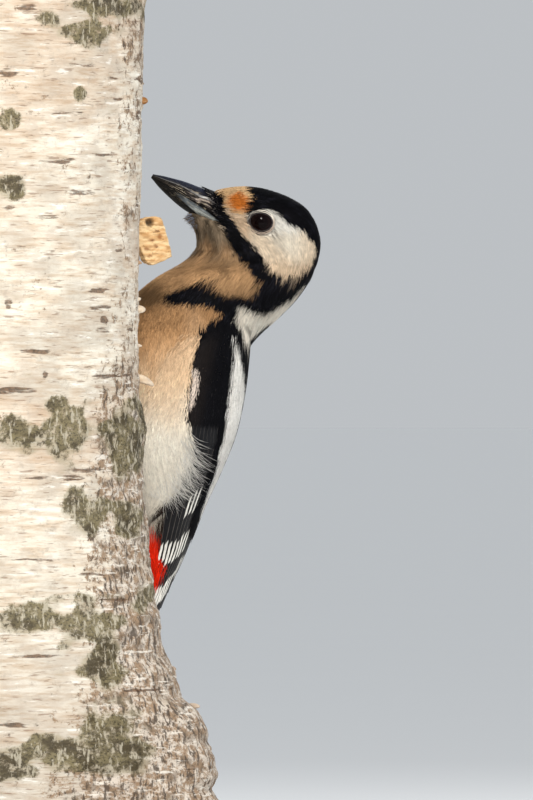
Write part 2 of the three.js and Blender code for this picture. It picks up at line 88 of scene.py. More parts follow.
def photographed(points):
    """As seen, but with the camera's perspective for places off the bird's plane."""
    middle = np.array([PHOTO_WIDTH, PHOTO_HEIGHT]) / 2
    return middle + (seen(points) - middle) / nearness(points[..., 1])[..., None]


def place_at(column, row, y):
    """X and Z in the model frame of a pixel of the photograph at depth y."""
    across, down = np.asarray(column) - PHOTO_WIDTH / 2, np.asarray(row) - PHOTO_HEIGHT / 2
    x = EDGE_X + (PHOTO_WIDTH / 2 - EDGE_PX + across * nearness(y)) / PIXELS_PER_MM
    return x, FOOT_Z + (PHOTO_HEIGHT / 2 - down * nearness(y)) / PIXELS_PER_MM


def add_camera():
    camera = bpy.data.objects.new("camera", bpy.data.cameras.new("camera"))
    bpy.context.scene.collection.objects.link(camera)
    height = PHOTO_HEIGHT / PIXELS_PER_MM
    camera.data.sensor_width = SENSOR
    camera.data.lens = SENSOR * CAMERA_DISTANCE / height
    camera.data.clip_end = 100
    middle_x = EDGE_X + (PHOTO_WIDTH / 2 - EDGE_PX) / PIXELS_PER_MM
    middle = (middle_x, BIRD_PLANE_Y - CAMERA_DISTANCE, FOOT_Z + height / 2)
    camera.location = [value * MM for value in middle]
    camera.rotation_euler = (math.pi / 2, 0, 0)
    bpy.context.scene.camera = camera


# ---------------------------------------------------------------- numbers
def full_turn(count):
    """Angles round a circle, in radians."""
    return np.linspace(0, 2 * math.pi, count, endpoint=False)


def unit(vectors):
    return vectors / np.maximum(np.linalg.norm(vectors, axis=-1, keepdims=True), 1e-9)


def length_of(vectors):
    return np.linalg.norm(vectors, axis=-1)


def paired(rows, columns):
    """Two arrays that pair each value of rows with each one of columns."""
    return np.meshgrid(rows, columns, indexing="ij")


def smooth(low, high, values):
    """0 below low, 1 above high, with an easy turn between."""
    t = np.clip((values - low) / (high - low), 0, 1)
    return t * t * (3 - 2 * t)


def hump(values, middle, width):
    """1 at the middle and falling off to both sides as a bell does."""
    return np.exp(-(((values - middle) / width) ** 2))


def dice(name):
    """A random source of its own for each piece, the same at each run."""
    return np.random.default_rng([ord(letter) for letter in name])


def linear(*colour):
    """A screen colour of 0 to 255 as the linear colour that shaders work with."""
    share = np.array(colour) / 255
    return np.where(share <= 0.04045, share / 12.92, ((share + 0.055) / 1.055) ** 2.4)


HASH_AXES, HASH_SEED, HASH_MIX = (73856093, 19349663, 83492791), 2654435, 1274126177  # large odd factors


def lattice_noise(points, size, seed=0, squeeze=(1, 1, 1)):
    """Smooth random values between -1 and 1, with bumps about size across, for points of three numbers.

    A squeeze below 1 along an axis draws the bumps out that way.
    """
    cell = np.asarray(points) * squeeze / size
    base = np.floor(cell).astype(np.int64)
    part = cell - base
    part = part * part * (3 - 2 * part)
    total = 0
    for corner in product((0, 1), repeat=3):
        x, y, z = np.moveaxis((base + np.array(corner)) * HASH_AXES, -1, 0)
        mixed = x ^ y ^ z ^ (seed * HASH_SEED)
        mixed = ((mixed ^ (mixed >> 13)) * HASH_MIX) & 0xFFFFFFFF
        value = ((mixed ^ (mixed >> 16)) & 0xFFFF) / 32767.5 - 1
        total = total + value * np.prod(np.where(corner, part, 1 - part), axis=-1)
    return total


def noise_over(x, y, z, size=1.0, seed=0):
    """lattice_noise for places given by their three parts, each an array or a number."""
    return lattice_noise(np.stack(np.broadcast_arrays(x, y, z), -1), size, seed)


def inside(places, outline):
    """Which places lie within a closed outline of the photograph's frame."""
    x, y = places[..., 0], places[..., 1]
    within = np.zeros(x.shape, bool)
    for (x1, y1), (x2, y2) in zip(outline, outline[1:] + outline[:1]):
        if y1 != y2:
            crosses = (y1 > y) != (y2 > y)
            within ^= crosses & (x < x1 + (y - y1) * (x2 - x1) / (y2 - y1))
    return within


class Table:
    """Rows of numbers, read smoothly at fractional row numbers and run on straight past both ends."""

    def __init__(self, rows):
        rows = np.array(rows, float)
        before = [rows[0] + k * (rows[0] - rows[1]) for k in (3, 2, 1)]
        after = [rows[-1] + k * (rows[-1] - rows[-2]) for k in (1, 2, 3)]
        self.rows = np.vstack([before, rows, after])
        self.end = len(rows) - 1

    def __call__(self, place):
        place = np.clip(np.asarray(place, float) + 3, 1, len(self.rows) - 2.001)
        k = place.astype(int)
        f = (place - k)[..., None]
        p0, p1, p2, p3 = (self.rows[k + i] for i in (-1, 0, 1, 2))
        bend = 2 * p0 - 5 * p1 + 4 * p2 - p3 + f * (3 * (p1 - p2) + p3 - p0)
        return p1 + 0.5 * f * (p2 - p0 + f * bend)


# ---------------------------------------------------------------- meshes
def to_model(points):
    """Body frame to model frame."""
    turn = math.radians(BODY_AZIMUTH)
    x, y, z = np.moveaxis(np.asarray(points, float), -1, 0)
    east = TRUNK_X + x * math.cos(turn) - y * math.sin(turn)
    north = TRUNK_Y + x * math.sin(turn) + y * math.cos(turn)
    return np.stack([east, north, z], -1)


def turned(vectors):
    """Directions of the body frame in the model frame."""
    return to_model(vectors) - to_model(np.zeros(3))


def new_piece(name, points, faces, material, slot=None, nodes=(), *, colours=None, attributes=None, uv=None,
              normals=None, body_frame=True):
    """A mesh object from points in mm and a list of face arrays, each array with one count of corners.

    It is declared for the frame where a slot is given.
    """
    points = np.asarray(points, float).reshape(-1, 3)
    points = to_model(points) if body_frame else points
    faces = faces if isinstance(faces, list) else [faces]
    sizes = np.concatenate([np.full(len(part), part.shape[1]) for part in faces])
    corners = np.concatenate([part.ravel() for part in faces])
    mesh = bpy.data.meshes.new(name)
    mesh.vertices.add(len(points))
    mesh.vertices.foreach_set("co", (points * MM).astype(np.float32).ravel())
    mesh.loops.add(len(corners))
    mesh.loops.foreach_set("vertex_index", corners.astype(np.int32))
    mesh.polygons.add(len(sizes))
    mesh.polygons.foreach_set("loop_start", np.concatenate([[0], np.cumsum(sizes)[:-1]]).astype(np.int32))
    mesh.update(calc_edges=True)
    mesh.polygons.foreach_set("use_smooth", np.full(len(sizes), True))
    carried = {} if colours is None else {"Coat": rgba(colours)}
    for key, values in {**carried, **(attributes or {})}.items():
        values = np.asarray(values, np.float32).reshape(len(points), -1)
        kind, field = ("FLOAT_COLOR", "color") if values.shape[1] == 4 else ("FLOAT_VECTOR", "vector")
        mesh.attributes.new(key, kind, "POINT").data.foreach_set(field, values.ravel())
    if uv is not None:
        layer = mesh.uv_layers.new(name="OFBake")
        layer.data.foreach_set("uv", np.asarray(uv, np.float32).reshape(-1, 2)[corners].ravel())
    if normals is not None:
        normals = unit(turned(normals)).reshape(-1, 3)
        mesh.normals_split_custom_set_from_vertices(normals.astype(np.float32))
    mesh.materials.append(material)
    piece = bpy.data.objects.new(name, mesh)
    bpy.context.scene.collection.objects.link(piece)
    return declare(piece, slot, *nodes) if slot else piece


def declare(piece, slot, *nodes):
    """Tells the frame what a piece rides on and hides the CAD nodes that it stands for. slot, the material
    slot, is not used.
    """
    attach(piece, "root")
    if nodes:
        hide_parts(*nodes)
    return piece


def grid_faces(rows, columns, closed=False, start=0):
    """Four-cornered faces of a grid of points. A closed grid joins its last column to its first."""
    across = np.arange(columns if closed else columns - 1)
    a = start + np.arange(rows - 1)[:, None] * columns + across
    b = start + np.arange(rows - 1)[:, None] * columns + (across + 1) % columns
    return np.stack([a, b, b + columns, a + columns], -1).reshape(-1, 4)


def rgba(colours):
    return np.concatenate([colours, np.ones((*colours.shape[:-1], 1))], -1)


def closed_loft(rings):
    """Points and faces of a closed tube of rings, its ends closed with fans round a middle point each."""
    rows, columns = rings.shape[:2]
    points = np.vstack([rings.reshape(-1, 3), rings[0].mean(0), rings[-1].mean(0)])
    first, last = rows * columns, rows * columns + 1
    here = np.arange(columns)
    there = (here + 1) % columns
    end = (rows - 1) * columns
    caps = np.vstack([
        np.stack([there, here, np.full(columns, first)], -1),
        np.stack([end + here, end + there, np.full(columns, last)], -1),
    ])
    return points, [grid_faces(rows, columns, closed=True), caps]


def capped(values):
    """The values of a closed loft's rings, point by point, with those of its two middle points added."""
    values = values.reshape(-1, values.shape[-1])
    return np.vstack([values, values[:1], values[-1:]])


def inside_out(faces):
    return [part[:, ::-1] for part in faces]


def join_lofts(rings_list):
    """One point array and face list for several closed lofts."""
    points, quads, triangles, start = [], [], [], 0
    for rings in rings_list:
        new_points, (sides, caps) = closed_loft(rings)
        points.append(new_points)
        quads.append(sides + start)
        triangles.append(caps + start)
        start += len(new_points)
    return np.vstack(points), [np.vstack(quads), np.vstack(triangles)]


# ---------------------------------------------------------------- materials
class Painter:
    """Builds one material. A value given to an input is a number, a colour or another node's output."""

    def __init__(self, name):
        self.material = bpy.data.materials.new(name)
        self.material.use_nodes = True
        self.tree = self.material.node_tree
        self.tree.nodes.clear()

    def node(self, kind, inputs, **settings):
        node = self.tree.nodes.new("ShaderNode" + kind)
        for key, value in settings.items():
            setattr(node, key, value)
        for key, value in inputs.items():
            if isinstance(value, bpy.types.NodeSocket):
                self.tree.links.new(value, node.inputs[key])
            else:
                node.inputs[key].default_value = value
        return node

    def math(self, operation, *values):
        return self.node("Math", dict(enumerate(values)), operation=operation).outputs[0]

    def add(self, first, second):
        return self.math("ADD", first, second)

    def times(self, first, second):
        return self.math("MULTIPLY", first, second)

    def coat(self):
        """The colour that the mesh carries."""
        return self.node("Attribute", {}, attribute_name="Coat").outputs["Color"]

    def carried(self, name):
        """A vector that the mesh carries."""
        return self.node("Attribute", {}, attribute_name=name).outputs["Vector"]

    def parts(self, vector):
        return self.node("SeparateXYZ", {0: vector}).outputs

    def scaled(self, vector, scale):
        return self.node("VectorMath", {0: vector, 1: scale}, operation="MULTIPLY").outputs[0]

    def place(self, scale):
        """Object coordinates, scaled from metres by a number or by one for each of X, Y and Z."""
        scale = scale if isinstance(scale, tuple) else (scale, scale, scale)
        return self.scaled(self.node("TexCoord", {}).outputs["Object"], scale)

    def noise(self, vector, detail=3, roughness=0.5, distortion=0):
        inputs = {"Vector": vector, "Scale": 1, "Detail": detail, "Roughness": roughness}
        return self.node("TexNoise", {**inputs, "Distortion": distortion}).outputs["Fac"]

    def grain(self, scale, **looks):
        """Noise over the object coordinates."""
        return self.noise(self.place(scale), **looks)

    def between(self, value, low, high, to_low=0.0, to_high=1.0):
        inputs = {"Value": value, "From Min": low, "From Max": high, "To Min": to_low, "To Max": to_high}
        return self.node("MapRange", inputs, interpolation_type="SMOOTHSTEP").outputs[0]

    def mix(self, share, first, second, blend="MIX"):
        inputs = {0: share, 6: self.opaque(first), 7: self.opaque(second)}
        return self.node("Mix", inputs, data_type="RGBA", blend_type=blend).outputs[2]

    def layer(self, colour, mask, low, high, most, over, blend="MIX"):
        """Lays a colour over another as a mask goes from low to high, up to the share most."""
        return self.mix(self.between(mask, low, high, 0.0, most), colour, over, blend)

    @staticmethod
    def opaque(colour):
        return colour if isinstance(colour, bpy.types.NodeSocket) else (*colour, 1)

    def bump(self, height, distance, strength):
        return self.node("Bump", {"Height": height, "Distance": distance, "Strength": strength}).outputs[0]

    def brightness(self, colour):
        return self.node("RGBToBW", {"Color": colour}).outputs[0]

    def finish(self, colour, roughness, normal=None, **constants):
        inputs = {"Base Color": self.opaque(colour), "Roughness": roughness}
        inputs.update({key.replace("_", " "): value for key, value in constants.items()})
        if normal is not None:
            inputs["Normal"] = normal
        surface = self.node("BsdfPrincipled", inputs)
        output = self.node("OutputMaterial", {"Surface": surface.outputs[0]})
        self.tree.nodes.active = output
        return self.material


def coat_material():
    """Feather tufts: the colour comes with each tuft, and dark plumage is glossier than pale."""
    paint = Painter("coat_feathers")
    colour = paint.coat()
    varied = paint.layer(colour, paint.grain(900, detail=2), 0.3, 0.7, 0.12, (0, 0, 0))
    roughness = paint.between(paint.brightness(colour), 0.02, 0.2, 0.5, 0.85)
    return paint.finish(varied, roughness, Specular_IOR_Level=0.06, Sheen_Weight=0.008, Sheen_Roughness=0.5)


# ---------------------------------------------------------------- the bird's outer form
def turned_back(vector):
    """A direction of the model frame in the body frame."""
    turn = math.radians(-BODY_AZIMUTH)
    x, y, z = vector
    return np.array([x * math.cos(turn) - y * math.sin(turn), x * math.sin(turn) + y * math.cos(turn), z])


PITCH = math.radians(HEAD_PITCH)
FORWARD = turned_back((-math.cos(PITCH), 0, math.sin(PITCH)))
CROWNWARD = turned_back((math.sin(PITCH), 0, math.cos(PITCH)))
HEAD_LEFT = turned_back((0, -1, 0))
HEAD_CENTRE = turned_back(EYE_MIDPOINT)
HEAD_AXES = np.array([FORWARD, CROWNWARD, HEAD_LEFT])


def in_head(forward, up, left=0.0):
    """Body-frame place of a point given ahead of, above and to the left of the point between the eyes."""
    parts = np.stack(np.broadcast_arrays(forward, up, left), -1).astype(float)
    return HEAD_CENTRE + parts @ HEAD_AXES


def head_parts(points):
    """How far body-frame points lie ahead of, above and to the left of the point between the eyes."""
    return (points - HEAD_CENTRE) @ HEAD_AXES.T


def torso_station(z, back, belly, half, fullness=0.05):
    return [back, 0, z, belly, 0, z, half, 0, fullness]


def neck_station(back, belly, half, yaw):
    return [*back, *belly, half, yaw, 0.02]


def head_station(crown, throat, half, yaw=HEAD_TURN, fullness=0.1):
    return [*in_head(*crown), *in_head(*throat), half, yaw, fullness]


# Each station has a point on the back or crown, one on the belly or throat, the half width, the yaw and how
# far the widest place sits towards the belly.
STATIONS = Table([
    torso_station(109, 95.4, 91.4, 6),
    torso_station(119, 103.5, 88.8, 10.5),
    torso_station(129, 110, 88, 13.5),
    torso_station(138, 115.5, 86.6, 16),
    torso_station(152, 122.8, 84.6, 19.6),
    torso_station(165, 130, 83.9, 22.4),
    torso_station(178, 136, 85, 23.6),
    torso_station(191, 140.2, 88.8, 23.6),
    torso_station(203, 142.6, 92.6, 22.6),
    neck_station([147.6, -2.2, 209.3], [94.4, 0, 211.5], 21.6, -3),
    neck_station([153.4, -5.6, 214.3], [98.4, 0, 218.8], 20.2, -8),
    neck_station([158.5, -10.2, 220.2], [105, 0, 225], 18.6, -14),
    neck_station([162.4, -14.6, 227], [112.8, 0.2, 230], 17, -20),
    neck_station([163.6, -16.4, 231], [119.8, 0.8, 232.8], 15.9, -26),
    head_station([-22.8, -1.5], [13.6, -20], 14.5, -32, 0.04),
    head_station([-20.7, 4], [14.4, -18], 14.2, -36, 0.06),
    head_station([-16.5, 8.6], [15.4, -16.2], 13.8),
    head_station([-11, 11.6], [16.3, -14.9], 13.2),
    head_station([-5.3, 12.1], [17.4, -13.9], 12.5),
    head_station([0.3, 11.4], [18.6, -13], 11.6),
    head_station([5.3, 10.1], [19.8, -12.2], 10.4),
    head_station([9.8, 8.2], [21, -11.4], 9),
    head_station([13.6, 5.8], [22, -10.9], 7.6),
    head_station([16.8, 3.2], [22.8, -10.5], 6.3),
    head_station([19, 1], [23.3, -10.2], 5.3),
])
FACE_END = STATIONS.end
TORSO_TOP, HEAD_START = 9.6, 14


def body_point(station, angle):
    """The form at a station and an angle in degrees, 0 at the belly, 90 at the left and 180 at the back."""
    row = STATIONS(station)
    back, belly = row[..., 0:3], row[..., 3:6]
    half, yaw, fullness = np.maximum(row[..., 6], 0.8), np.radians(row[..., 7]), row[..., 8]
    turn = np.radians(angle)
    left = np.stack([np.sin(yaw), -np.cos(yaw), np.zeros_like(yaw)], -1)
    width = half * np.sin(turn) * (1 + fullness * np.cos(turn))
    return (back + belly) / 2 - np.cos(turn)[..., None] * (back - belly) / 2 + left * width[..., None]


class Surface:
    """A patch of the bird: its points, the way that feathers lie on it and its place on the unwrap."""

    def __init__(self, point, steps, lie, outward, unwrap):
        self.point, self.steps, self.lie, self.outward, self.unwrap = point, steps, lie, outward, unwrap

    def frame(self, u, v):
        """Point, change along u, change along v and outward normal."""
        du, dv = self.steps
        along = (self.point(u + du, v) - self.point(u - du, v)) / (2 * du)
        across = (self.point(u, v + dv) - self.point(u, v - dv)) / (2 * dv)
        return self.point(u, v), along, across, self.outward * unit(np.cross(along, across))


def unwrap_box(u_range, v_range, margin=0.02):
    """Places a patch on the unwrap, along it upwards and round it across, with a margin at each side."""

    def unwrap(u, v):
        shares = [(v - v_range[0]) / (v_range[1] - v_range[0]), (u - u_range[0]) / (u_range[1] - u_range[0])]
        return np.stack([margin + (1 - 2 * margin) * np.clip(share, 0, 1) for share in shares], -1)

    return unwrap


BODY = Surface(body_point, (0.03, 0.8), -1, -1, unwrap_box((0, FACE_END), (0, 360), 0.01))


SPREAD_CELLS = 240
SPREAD_STEPS = 0.7548776662466927, 0.5698402909980532  # shares whose multiples fill a square evenly


def spread(surface, u_range, v_range, density):
    """Even places on a patch. density gives the number of places wanted in a square millimetre."""
    cells = SPREAD_CELLS
    u_edges, v_edges = (np.linspace(*span, cells + 1) for span in (u_range, v_range))
    u, v = paired((u_edges[1:] + u_edges[:-1]) / 2, (v_edges[1:] + v_edges[:-1]) / 2)
    point, along, across, _ = surface.frame(u, v)
    area = length_of(np.cross(along, across)) * (u_edges[1] - u_edges[0]) * (v_edges[1] - v_edges[0])
    wanted = area * density(u, v, point)
    count = int(wanted.sum())
    rows = np.concatenate([[0], np.cumsum(wanted.sum(1))]) / wanted.sum()
    number = np.arange(count)
    first, second = ((0.5 + number * step) % 1 for step in SPREAD_STEPS)
    row = np.clip(np.searchsorted(rows, first, side="right") - 1, 0, cells - 1)
    sums = np.concatenate([np.zeros((cells, 1)), np.cumsum(wanted, axis=1)], axis=1)
    sums /= np.maximum(sums[:, -1:], 1e-12)
    column = np.clip((sums[row] < second[:, None]).sum(1) - 1, 0, cells - 1)
    low, high = sums[row, column], sums[row, column + 1]
    share = (second - low) / np.maximum(high - low, 1e-12)
    v_step = v_edges[1] - v_edges[0]
    return np.interp(first, rows, u_edges), v_edges[column] + share * v_step


# ---------------------------------------------------------------- tufts
PATCH = 0.003  # width of a tuft's patch on the unwrap
MOST_TRIANGLES = 190_000


class Coat:
    """How tufts are made, in millimetres. A value may be a number or an array with one number for each tuft.

    above raises a whole tuft off its surface and lean carries its tip sideways by a share of its length.
    """

    def __init__(self, length, width, depth, lift=0.1, **more):
        self.length, self.width, self.depth, self.lift = length, width, depth, lift
        self.barbs, self.clumps, self.breadth = 9, 3, 0.22
        self.ragged, self.sway, self.loose, self.above, self.lean = 0.3, 0.12, 0.15, 0.0, 0.0
        for key, value in more.items():
            setattr(self, key, value)


GATHERING = 0.62  # how far the barbs of a clump draw together at their tips
SHOWN_AT = 0.55  # the share of a tuft's length about which it shows: its colour is the marking's there


def column_of(value, count):
    return np.broadcast_to(np.asarray(value, float), (count,))[:, None]


def grow_tufts(name, slot, material, surface, u, v, coat, colours):
    """Tufts of fine barbs. Each barb is a closed spindle: a root, three points at its middle and a tip."""
    count = len(u)
    rng = dice(name)
    values = (coat.length, coat.width, coat.depth, coat.lift, coat.above, coat.lean)
    length, width, depth, lift, above, lean = (column_of(value, count) for value in values)
    _, along, across, _ = surface.frame(u, v)
    u_per_mm = surface.lie / length_of(along)[:, None]
    v_per_mm = 1 / length_of(across)[:, None]
    shape = (count, coat.barbs)
    fan = np.linspace(-1, 1, coat.barbs) + rng.normal(0, 0.5 / coat.barbs, shape)
    clump = np.arange(coat.barbs) * coat.clumps // coat.barbs
    middles = (2 * np.arange(coat.clumps) + 1) / coat.clumps - 1 + rng.normal(0, 0.15, (count, coat.clumps))
    gather = GATHERING * (middles[:, clump] - fan)
    clump_shade = rng.uniform(0.74, 1.14, (count, coat.clumps))[:, clump]
    reach = length * (1 - 0.3 * fan**2) * (1 + coat.ragged * rng.uniform(-1, 0.4, shape))
    sway = coat.sway * length * (rng.normal(0, 1, (count, 1)) + 0.25 * rng.normal(0, 1, shape)) + lean * reach
    loose = rng.uniform(-1, 0.25, shape) * coat.loose * depth
    stand = lift * rng.uniform(0.2, 1, shape)

    def stage(t, spread_share, height):
        bend = t * t
        uu = u[:, None] + u_per_mm * reach * t
        vv = v[:, None] + v_per_mm * ((fan + gather * t) * width / 2 * spread_share + sway * bend)
        point, along, across, normal = surface.frame(uu, vv)
        return point + normal * height[..., None], unit(across), normal, unit(along) * surface.lie

    root, _, root_up, _ = stage(0.0, 0.4, -0.95 * depth + 0 * reach)
    middle, side, up, lie = stage(0.45, 0.8, -0.22 * depth + loose + above)
    tip, _, tip_up, _ = stage(1.0, 1.0, loose + stand + above)
    half = coat.breadth / 2 * rng.uniform(0.7, 1.25, shape)[..., None]
    points = np.stack([root, middle - side * half, middle + side * half, middle + up * 0.6 * half, tip], 2)
    normals = np.stack([root_up, up - 0.5 * side, up + 0.5 * side, up, tip_up], 2)
    facing = np.einsum("ijk,ijk->ij", np.cross(side, up), lie).mean() > 0
    faces = np.array([(1, 2, 4), (2, 3, 4), (3, 1, 4), (2, 1, 0), (3, 2, 0), (1, 3, 0)])
    faces = faces if facing else faces[:, ::-1]
    shade = clump_shade * rng.uniform(0.9, 1.08, shape)
    # Painted shade: each barb is darkened towards its root deep in the coat and lightened at its tip, over
    # the random tone of its clump and barb.
    shade = shade[..., None, None] * np.array([0.6, 0.95, 0.95, 1.0, 1.06])[:, None]
    colour = np.clip(colours[:, None, None, :] * shade, 0, 1)
    patch = np.array([(0, -1), (-1, 0), (1, 0), (0, 0.2), (0, 1)]) * PATCH / 2
    uv = np.broadcast_to(surface.unwrap(u, v)[:, None, None, :] + patch, (*shape, 5, 2))
    per_piece = MOST_TRIANGLES // (len(faces) * coat.barbs)
    number = math.ceil(count / per_piece)
    for k in range(number):
        part = slice(k * count // number, (k + 1) * count // number)
        spindles = (part.stop - part.start) * coat.barbs
        index = (faces[None] + 5 * np.arange(spindles)[:, None, None]).reshape(-1, 3)
        piece_name = name if number == 1 else f"{name}_{k + 1}"
        new_piece(piece_name, points[part], index, material, slot,
                  colours=colour[part], uv=uv[part], normals=normals[part])


# ---------------------------------------------------------------- markings
BLACK = linear(9, 9, 13)
WHITE = linear(244, 241, 234)
NECK_WHITE = linear(243, 234, 218)
BROW_WHITE, CHEEK_WHITE, CHEEK_BUFF = linear(240, 236, 226), linear(236, 225, 206), linear(230, 208, 180)
LORE_TAN, CHEEK_TAN = linear(214, 184, 152), linear(212, 182, 148)
THROAT = linear(190, 150, 108)
CHIN = linear(140, 124, 104)
BREAST_TAN = linear(208, 160, 112)
BREAST_LIGHT = linear(250, 216, 178)
# BELLY_SHADE is painted shade laid over the belly's lower end.
BELLY, BELLY_SHADE = linear(246, 238, 222), linear(118, 104, 88)
FRONTAL_ORANGE = linear(216, 124, 50)
FRONTAL_BUFF = linear(222, 184, 138)
RED = linear(244, 44, 16)

# Outlines of the plumage's patches as the photograph shows them, in its pixels.
CROWN_OUTLINE = [
    (247, 170), (247.3, 187.9), (250, 194.1), (249.5, 201.3), (245, 209), (244.5, 212.5), (247.6, 214.6),
    (253, 211.8), (258.7, 210.8), (264.4, 210.3), (270, 210.8), (275.8, 213.2), (280, 216.2), (286, 221.4),
    (292, 226), (300.1, 229), (308.1, 235.7), (313.5, 243.7), (316.8, 249.1), (315.5, 257.1), (312.1, 265.2),
    (305.4, 273.2), (297.4, 278.6), (285.3, 279.6), (284, 300), (290, 300.6), (304.1, 287.2), (345, 262),
    (335, 200), (290, 160),
]
LORE_OUTLINE = [
    (190, 178), (213, 188.5), (222.4, 196), (223.2, 206), (226.4, 213.5), (229.6, 220), (232.8, 226),
    (222, 238), (221, 228), (214, 222), (205, 214), (190, 205),
]
MOUSTACHE_OUTLINE = [
    (217, 216), (226, 218.5), (232.4, 227.1), (240, 235.7), (248, 243.4), (255.5, 250.4), (260.5, 258),
    (263.4, 265.5), (271.4, 270.9), (278.6, 276.3), (285.7, 279.6), (300, 284), (297, 294.5), (289, 303),
    (279, 312.5), (269.3, 316), (257.2, 315), (245.2, 312), (237, 308), (231.8, 295), (241.2, 296),
    (254.5, 296.5), (259.5, 291), (255.6, 281.2), (250.4, 271.5), (244, 265), (235.5, 258), (228.5, 247),
    (221, 233),
]
BREAST_PATCH_OUTLINE = [
    (163.5, 298), (170, 293), (178, 289.5), (185, 286), (193, 282.6), (203, 282.2), (212, 285), (220, 291),
    (229, 296.5), (236, 299), (244, 299.5), (252, 298), (258, 300), (256, 309), (249, 307.5), (241.2, 306.4),
    (236, 321.6), (240.5, 329.6), (245, 343), (247.5, 351), (248, 364), (246.5, 380), (244, 372), (242, 363),
    (239.5, 353), (236.5, 346), (234, 340), (229.5, 330), (226, 319), (223.7, 315), (213, 309.4),
    (203, 307.5), (190, 306.5), (178, 305.5), (168, 303.5),
]
NECK_EDGE_OUTLINE = [
    (270, 324.5), (264, 329), (258.5, 333), (253.5, 338.5), (249, 345), (246.5, 352), (247.4, 376),
    (258, 366), (270, 350), (285, 335), (280, 320),
]
NECK_PATCH_OUTLINE = [
    (241.2, 309), (249.2, 311), (257.2, 315), (265.2, 316), (271.6, 313.4), (282, 306), (291, 300),
    (300, 292), (305, 295), (296, 306), (286, 316), (276, 323), (268, 326), (262, 330), (256.5, 335.5),
    (251.5, 342), (246, 352), (245, 343), (240.5, 329.6), (236, 321.6),
]
CHEEK_RIM_OUTLINE = [
    (283, 280), (293, 280), (299, 279), (306, 274), (313, 264), (322, 258), (324, 277), (310, 293),
    (300, 292), (291, 300), (282, 306), (272, 312),
]
# WING_SHADE_OUTLINE and WING_SHADE: painted shadow of the folded wing on the belly's lower edge by the vent,
# standing also for the wing's dark underside there.
WING_SHADE_OUTLINE = [
    (155, 532), (159, 521), (163, 512), (169, 504), (176, 498), (186, 492), (190, 510), (178, 540),
    (168, 575), (161, 575), (161.5, 555), (159.5, 540),
]
WING_SHADE = linear(58, 47, 42)
WING_CORNER_OUTLINE = [
    (197.5, 360), (198.5, 335), (202, 328.5), (210, 322.5), (221, 319), (230, 320), (236, 335), (225, 345),
    (206, 362),
]
THROAT_OUTLINE = [
    (180, 205), (207, 214), (221, 230), (231.8, 250), (241.2, 259), (251.9, 268), (255, 282), (259, 296),
    (180, 310),
]
FRONTAL_PATCH_OUTLINE = [
    (215.7, 186), (247, 180), (250.2, 194), (249.5, 201.3), (245, 209.3), (242, 215.4), (232, 215.5),
    (222, 205),
]
NAPE_STRIPE = 20  # degrees either side of the nape's middle line that are black
ORANGE_CENTRE, ORANGE_REACH = (238, 203), 10.6
RAGGED = 0.7  # pixels by which the feathers at a marking's edge stray
# Pixel rows between which the underparts, throat and face change colour or darken with painted shade, and
# rows at which they end.
BREAST_TOP_SHADE, TAN_TO_CREAM, CREAM_TO_WHITE, BELLY_SHADED = (352, 322), (318, 392), (375, 455), (492, 530)
VENT_TOP, THROAT_TO_CHIN, THROAT_SHADE_ROWS = (528, 536), (268, 236), (276, 298)
BROW_END, CHEEK_LOWER, CHEEK_END, LORE_TOP = (226, 240), (246, 276), (254, 284), (212, 220)
BEFORE_EYE_TOP, BEFORE_EYE_END = (201, 206), (244, 230)
LORE_ROW, FACE_END_ROW, THROAT_END_ROW, NECK_ROWS = 222, 284, 305, (301, 372)
# Pixel columns of the same, and those that the slanting changes are measured from.
THROAT_SHADE_COLUMNS, CHEEK_REAR, BEFORE_EYE = (205, 225), (288, 312), (251, 243)
VENT_COLUMN, CHIN_COLUMN, CHEEK_COLUMN, LORE_COLUMN, BEFORE_EYE_COLUMN = 152, 205, 270, 245, 240
FACE_COLUMN, NECK_COLUMN = 262, 233.5
# Stations at which the face, the throat, the mantle, the far side and the nape's stripe begin or end, and the
# same in degrees from the belly's middle line for the red vent, the neck's side, the far side and the mantle.
FACE_FROM, THROAT_FROM, MANTLE_END, FAR_SIDE_END, STRIPE_END = 13, 8, 11, 19, 20
VENT_DEGREES, NECK_DEGREES, FAR_SIDE_DEGREES, MANTLE_DEGREES = 112, 70, 95, 142
BLACK_OUTLINES = (
    CROWN_OUTLINE, LORE_OUTLINE, MOUSTACHE_OUTLINE, BREAST_PATCH_OUTLINE, NECK_EDGE_OUTLINE,
    WING_CORNER_OUTLINE, CHEEK_RIM_OUTLINE,
)
CAMERA_SIDE = turned_back((0, -1, 0))


def blend_colours(share, first, second):
    return first + (second - first) * np.asarray(share)[..., None]


def overlaid(colour, *layers):
    """A colour with others laid over it in turn, each given with its share."""
    for share, over in layers:
        colour = blend_colours(share, colour, over)
    return colour


def underparts(point, row):
    """Tan on the breast, paling through cream to the white belly, with painted shade at the breast's top and
    the belly's lower end. row is the photograph's pixel row.
    """
    streak = lattice_noise(point, 3.2, 5, (1, 1, 0.35))
    blotch = lattice_noise(point, 11, 9)
    cloud = lattice_noise(point, 5, 10)
    tan = blend_colours(smooth(-0.2, 0.8, cloud + 0.4 * streak), BREAST_TAN, BREAST_TAN * 0.82)
    # Painted shade: the breast darkens towards its top, under the head.
    tan = tan * (1 - 0.22 * smooth(*BREAST_TOP_SHADE, row + 10 * streak))[..., None]
    return overlaid(
        tan,
        (smooth(*TAN_TO_CREAM, row + 26 * blotch + 10 * streak), BREAST_LIGHT),
        (smooth(*CREAM_TO_WHITE, row + 22 * blotch + 8 * streak), BELLY),
        # painted shade on the belly's lower end
        (0.8 * smooth(*BELLY_SHADED, row + 12 * streak), BELLY_SHADE),
    )


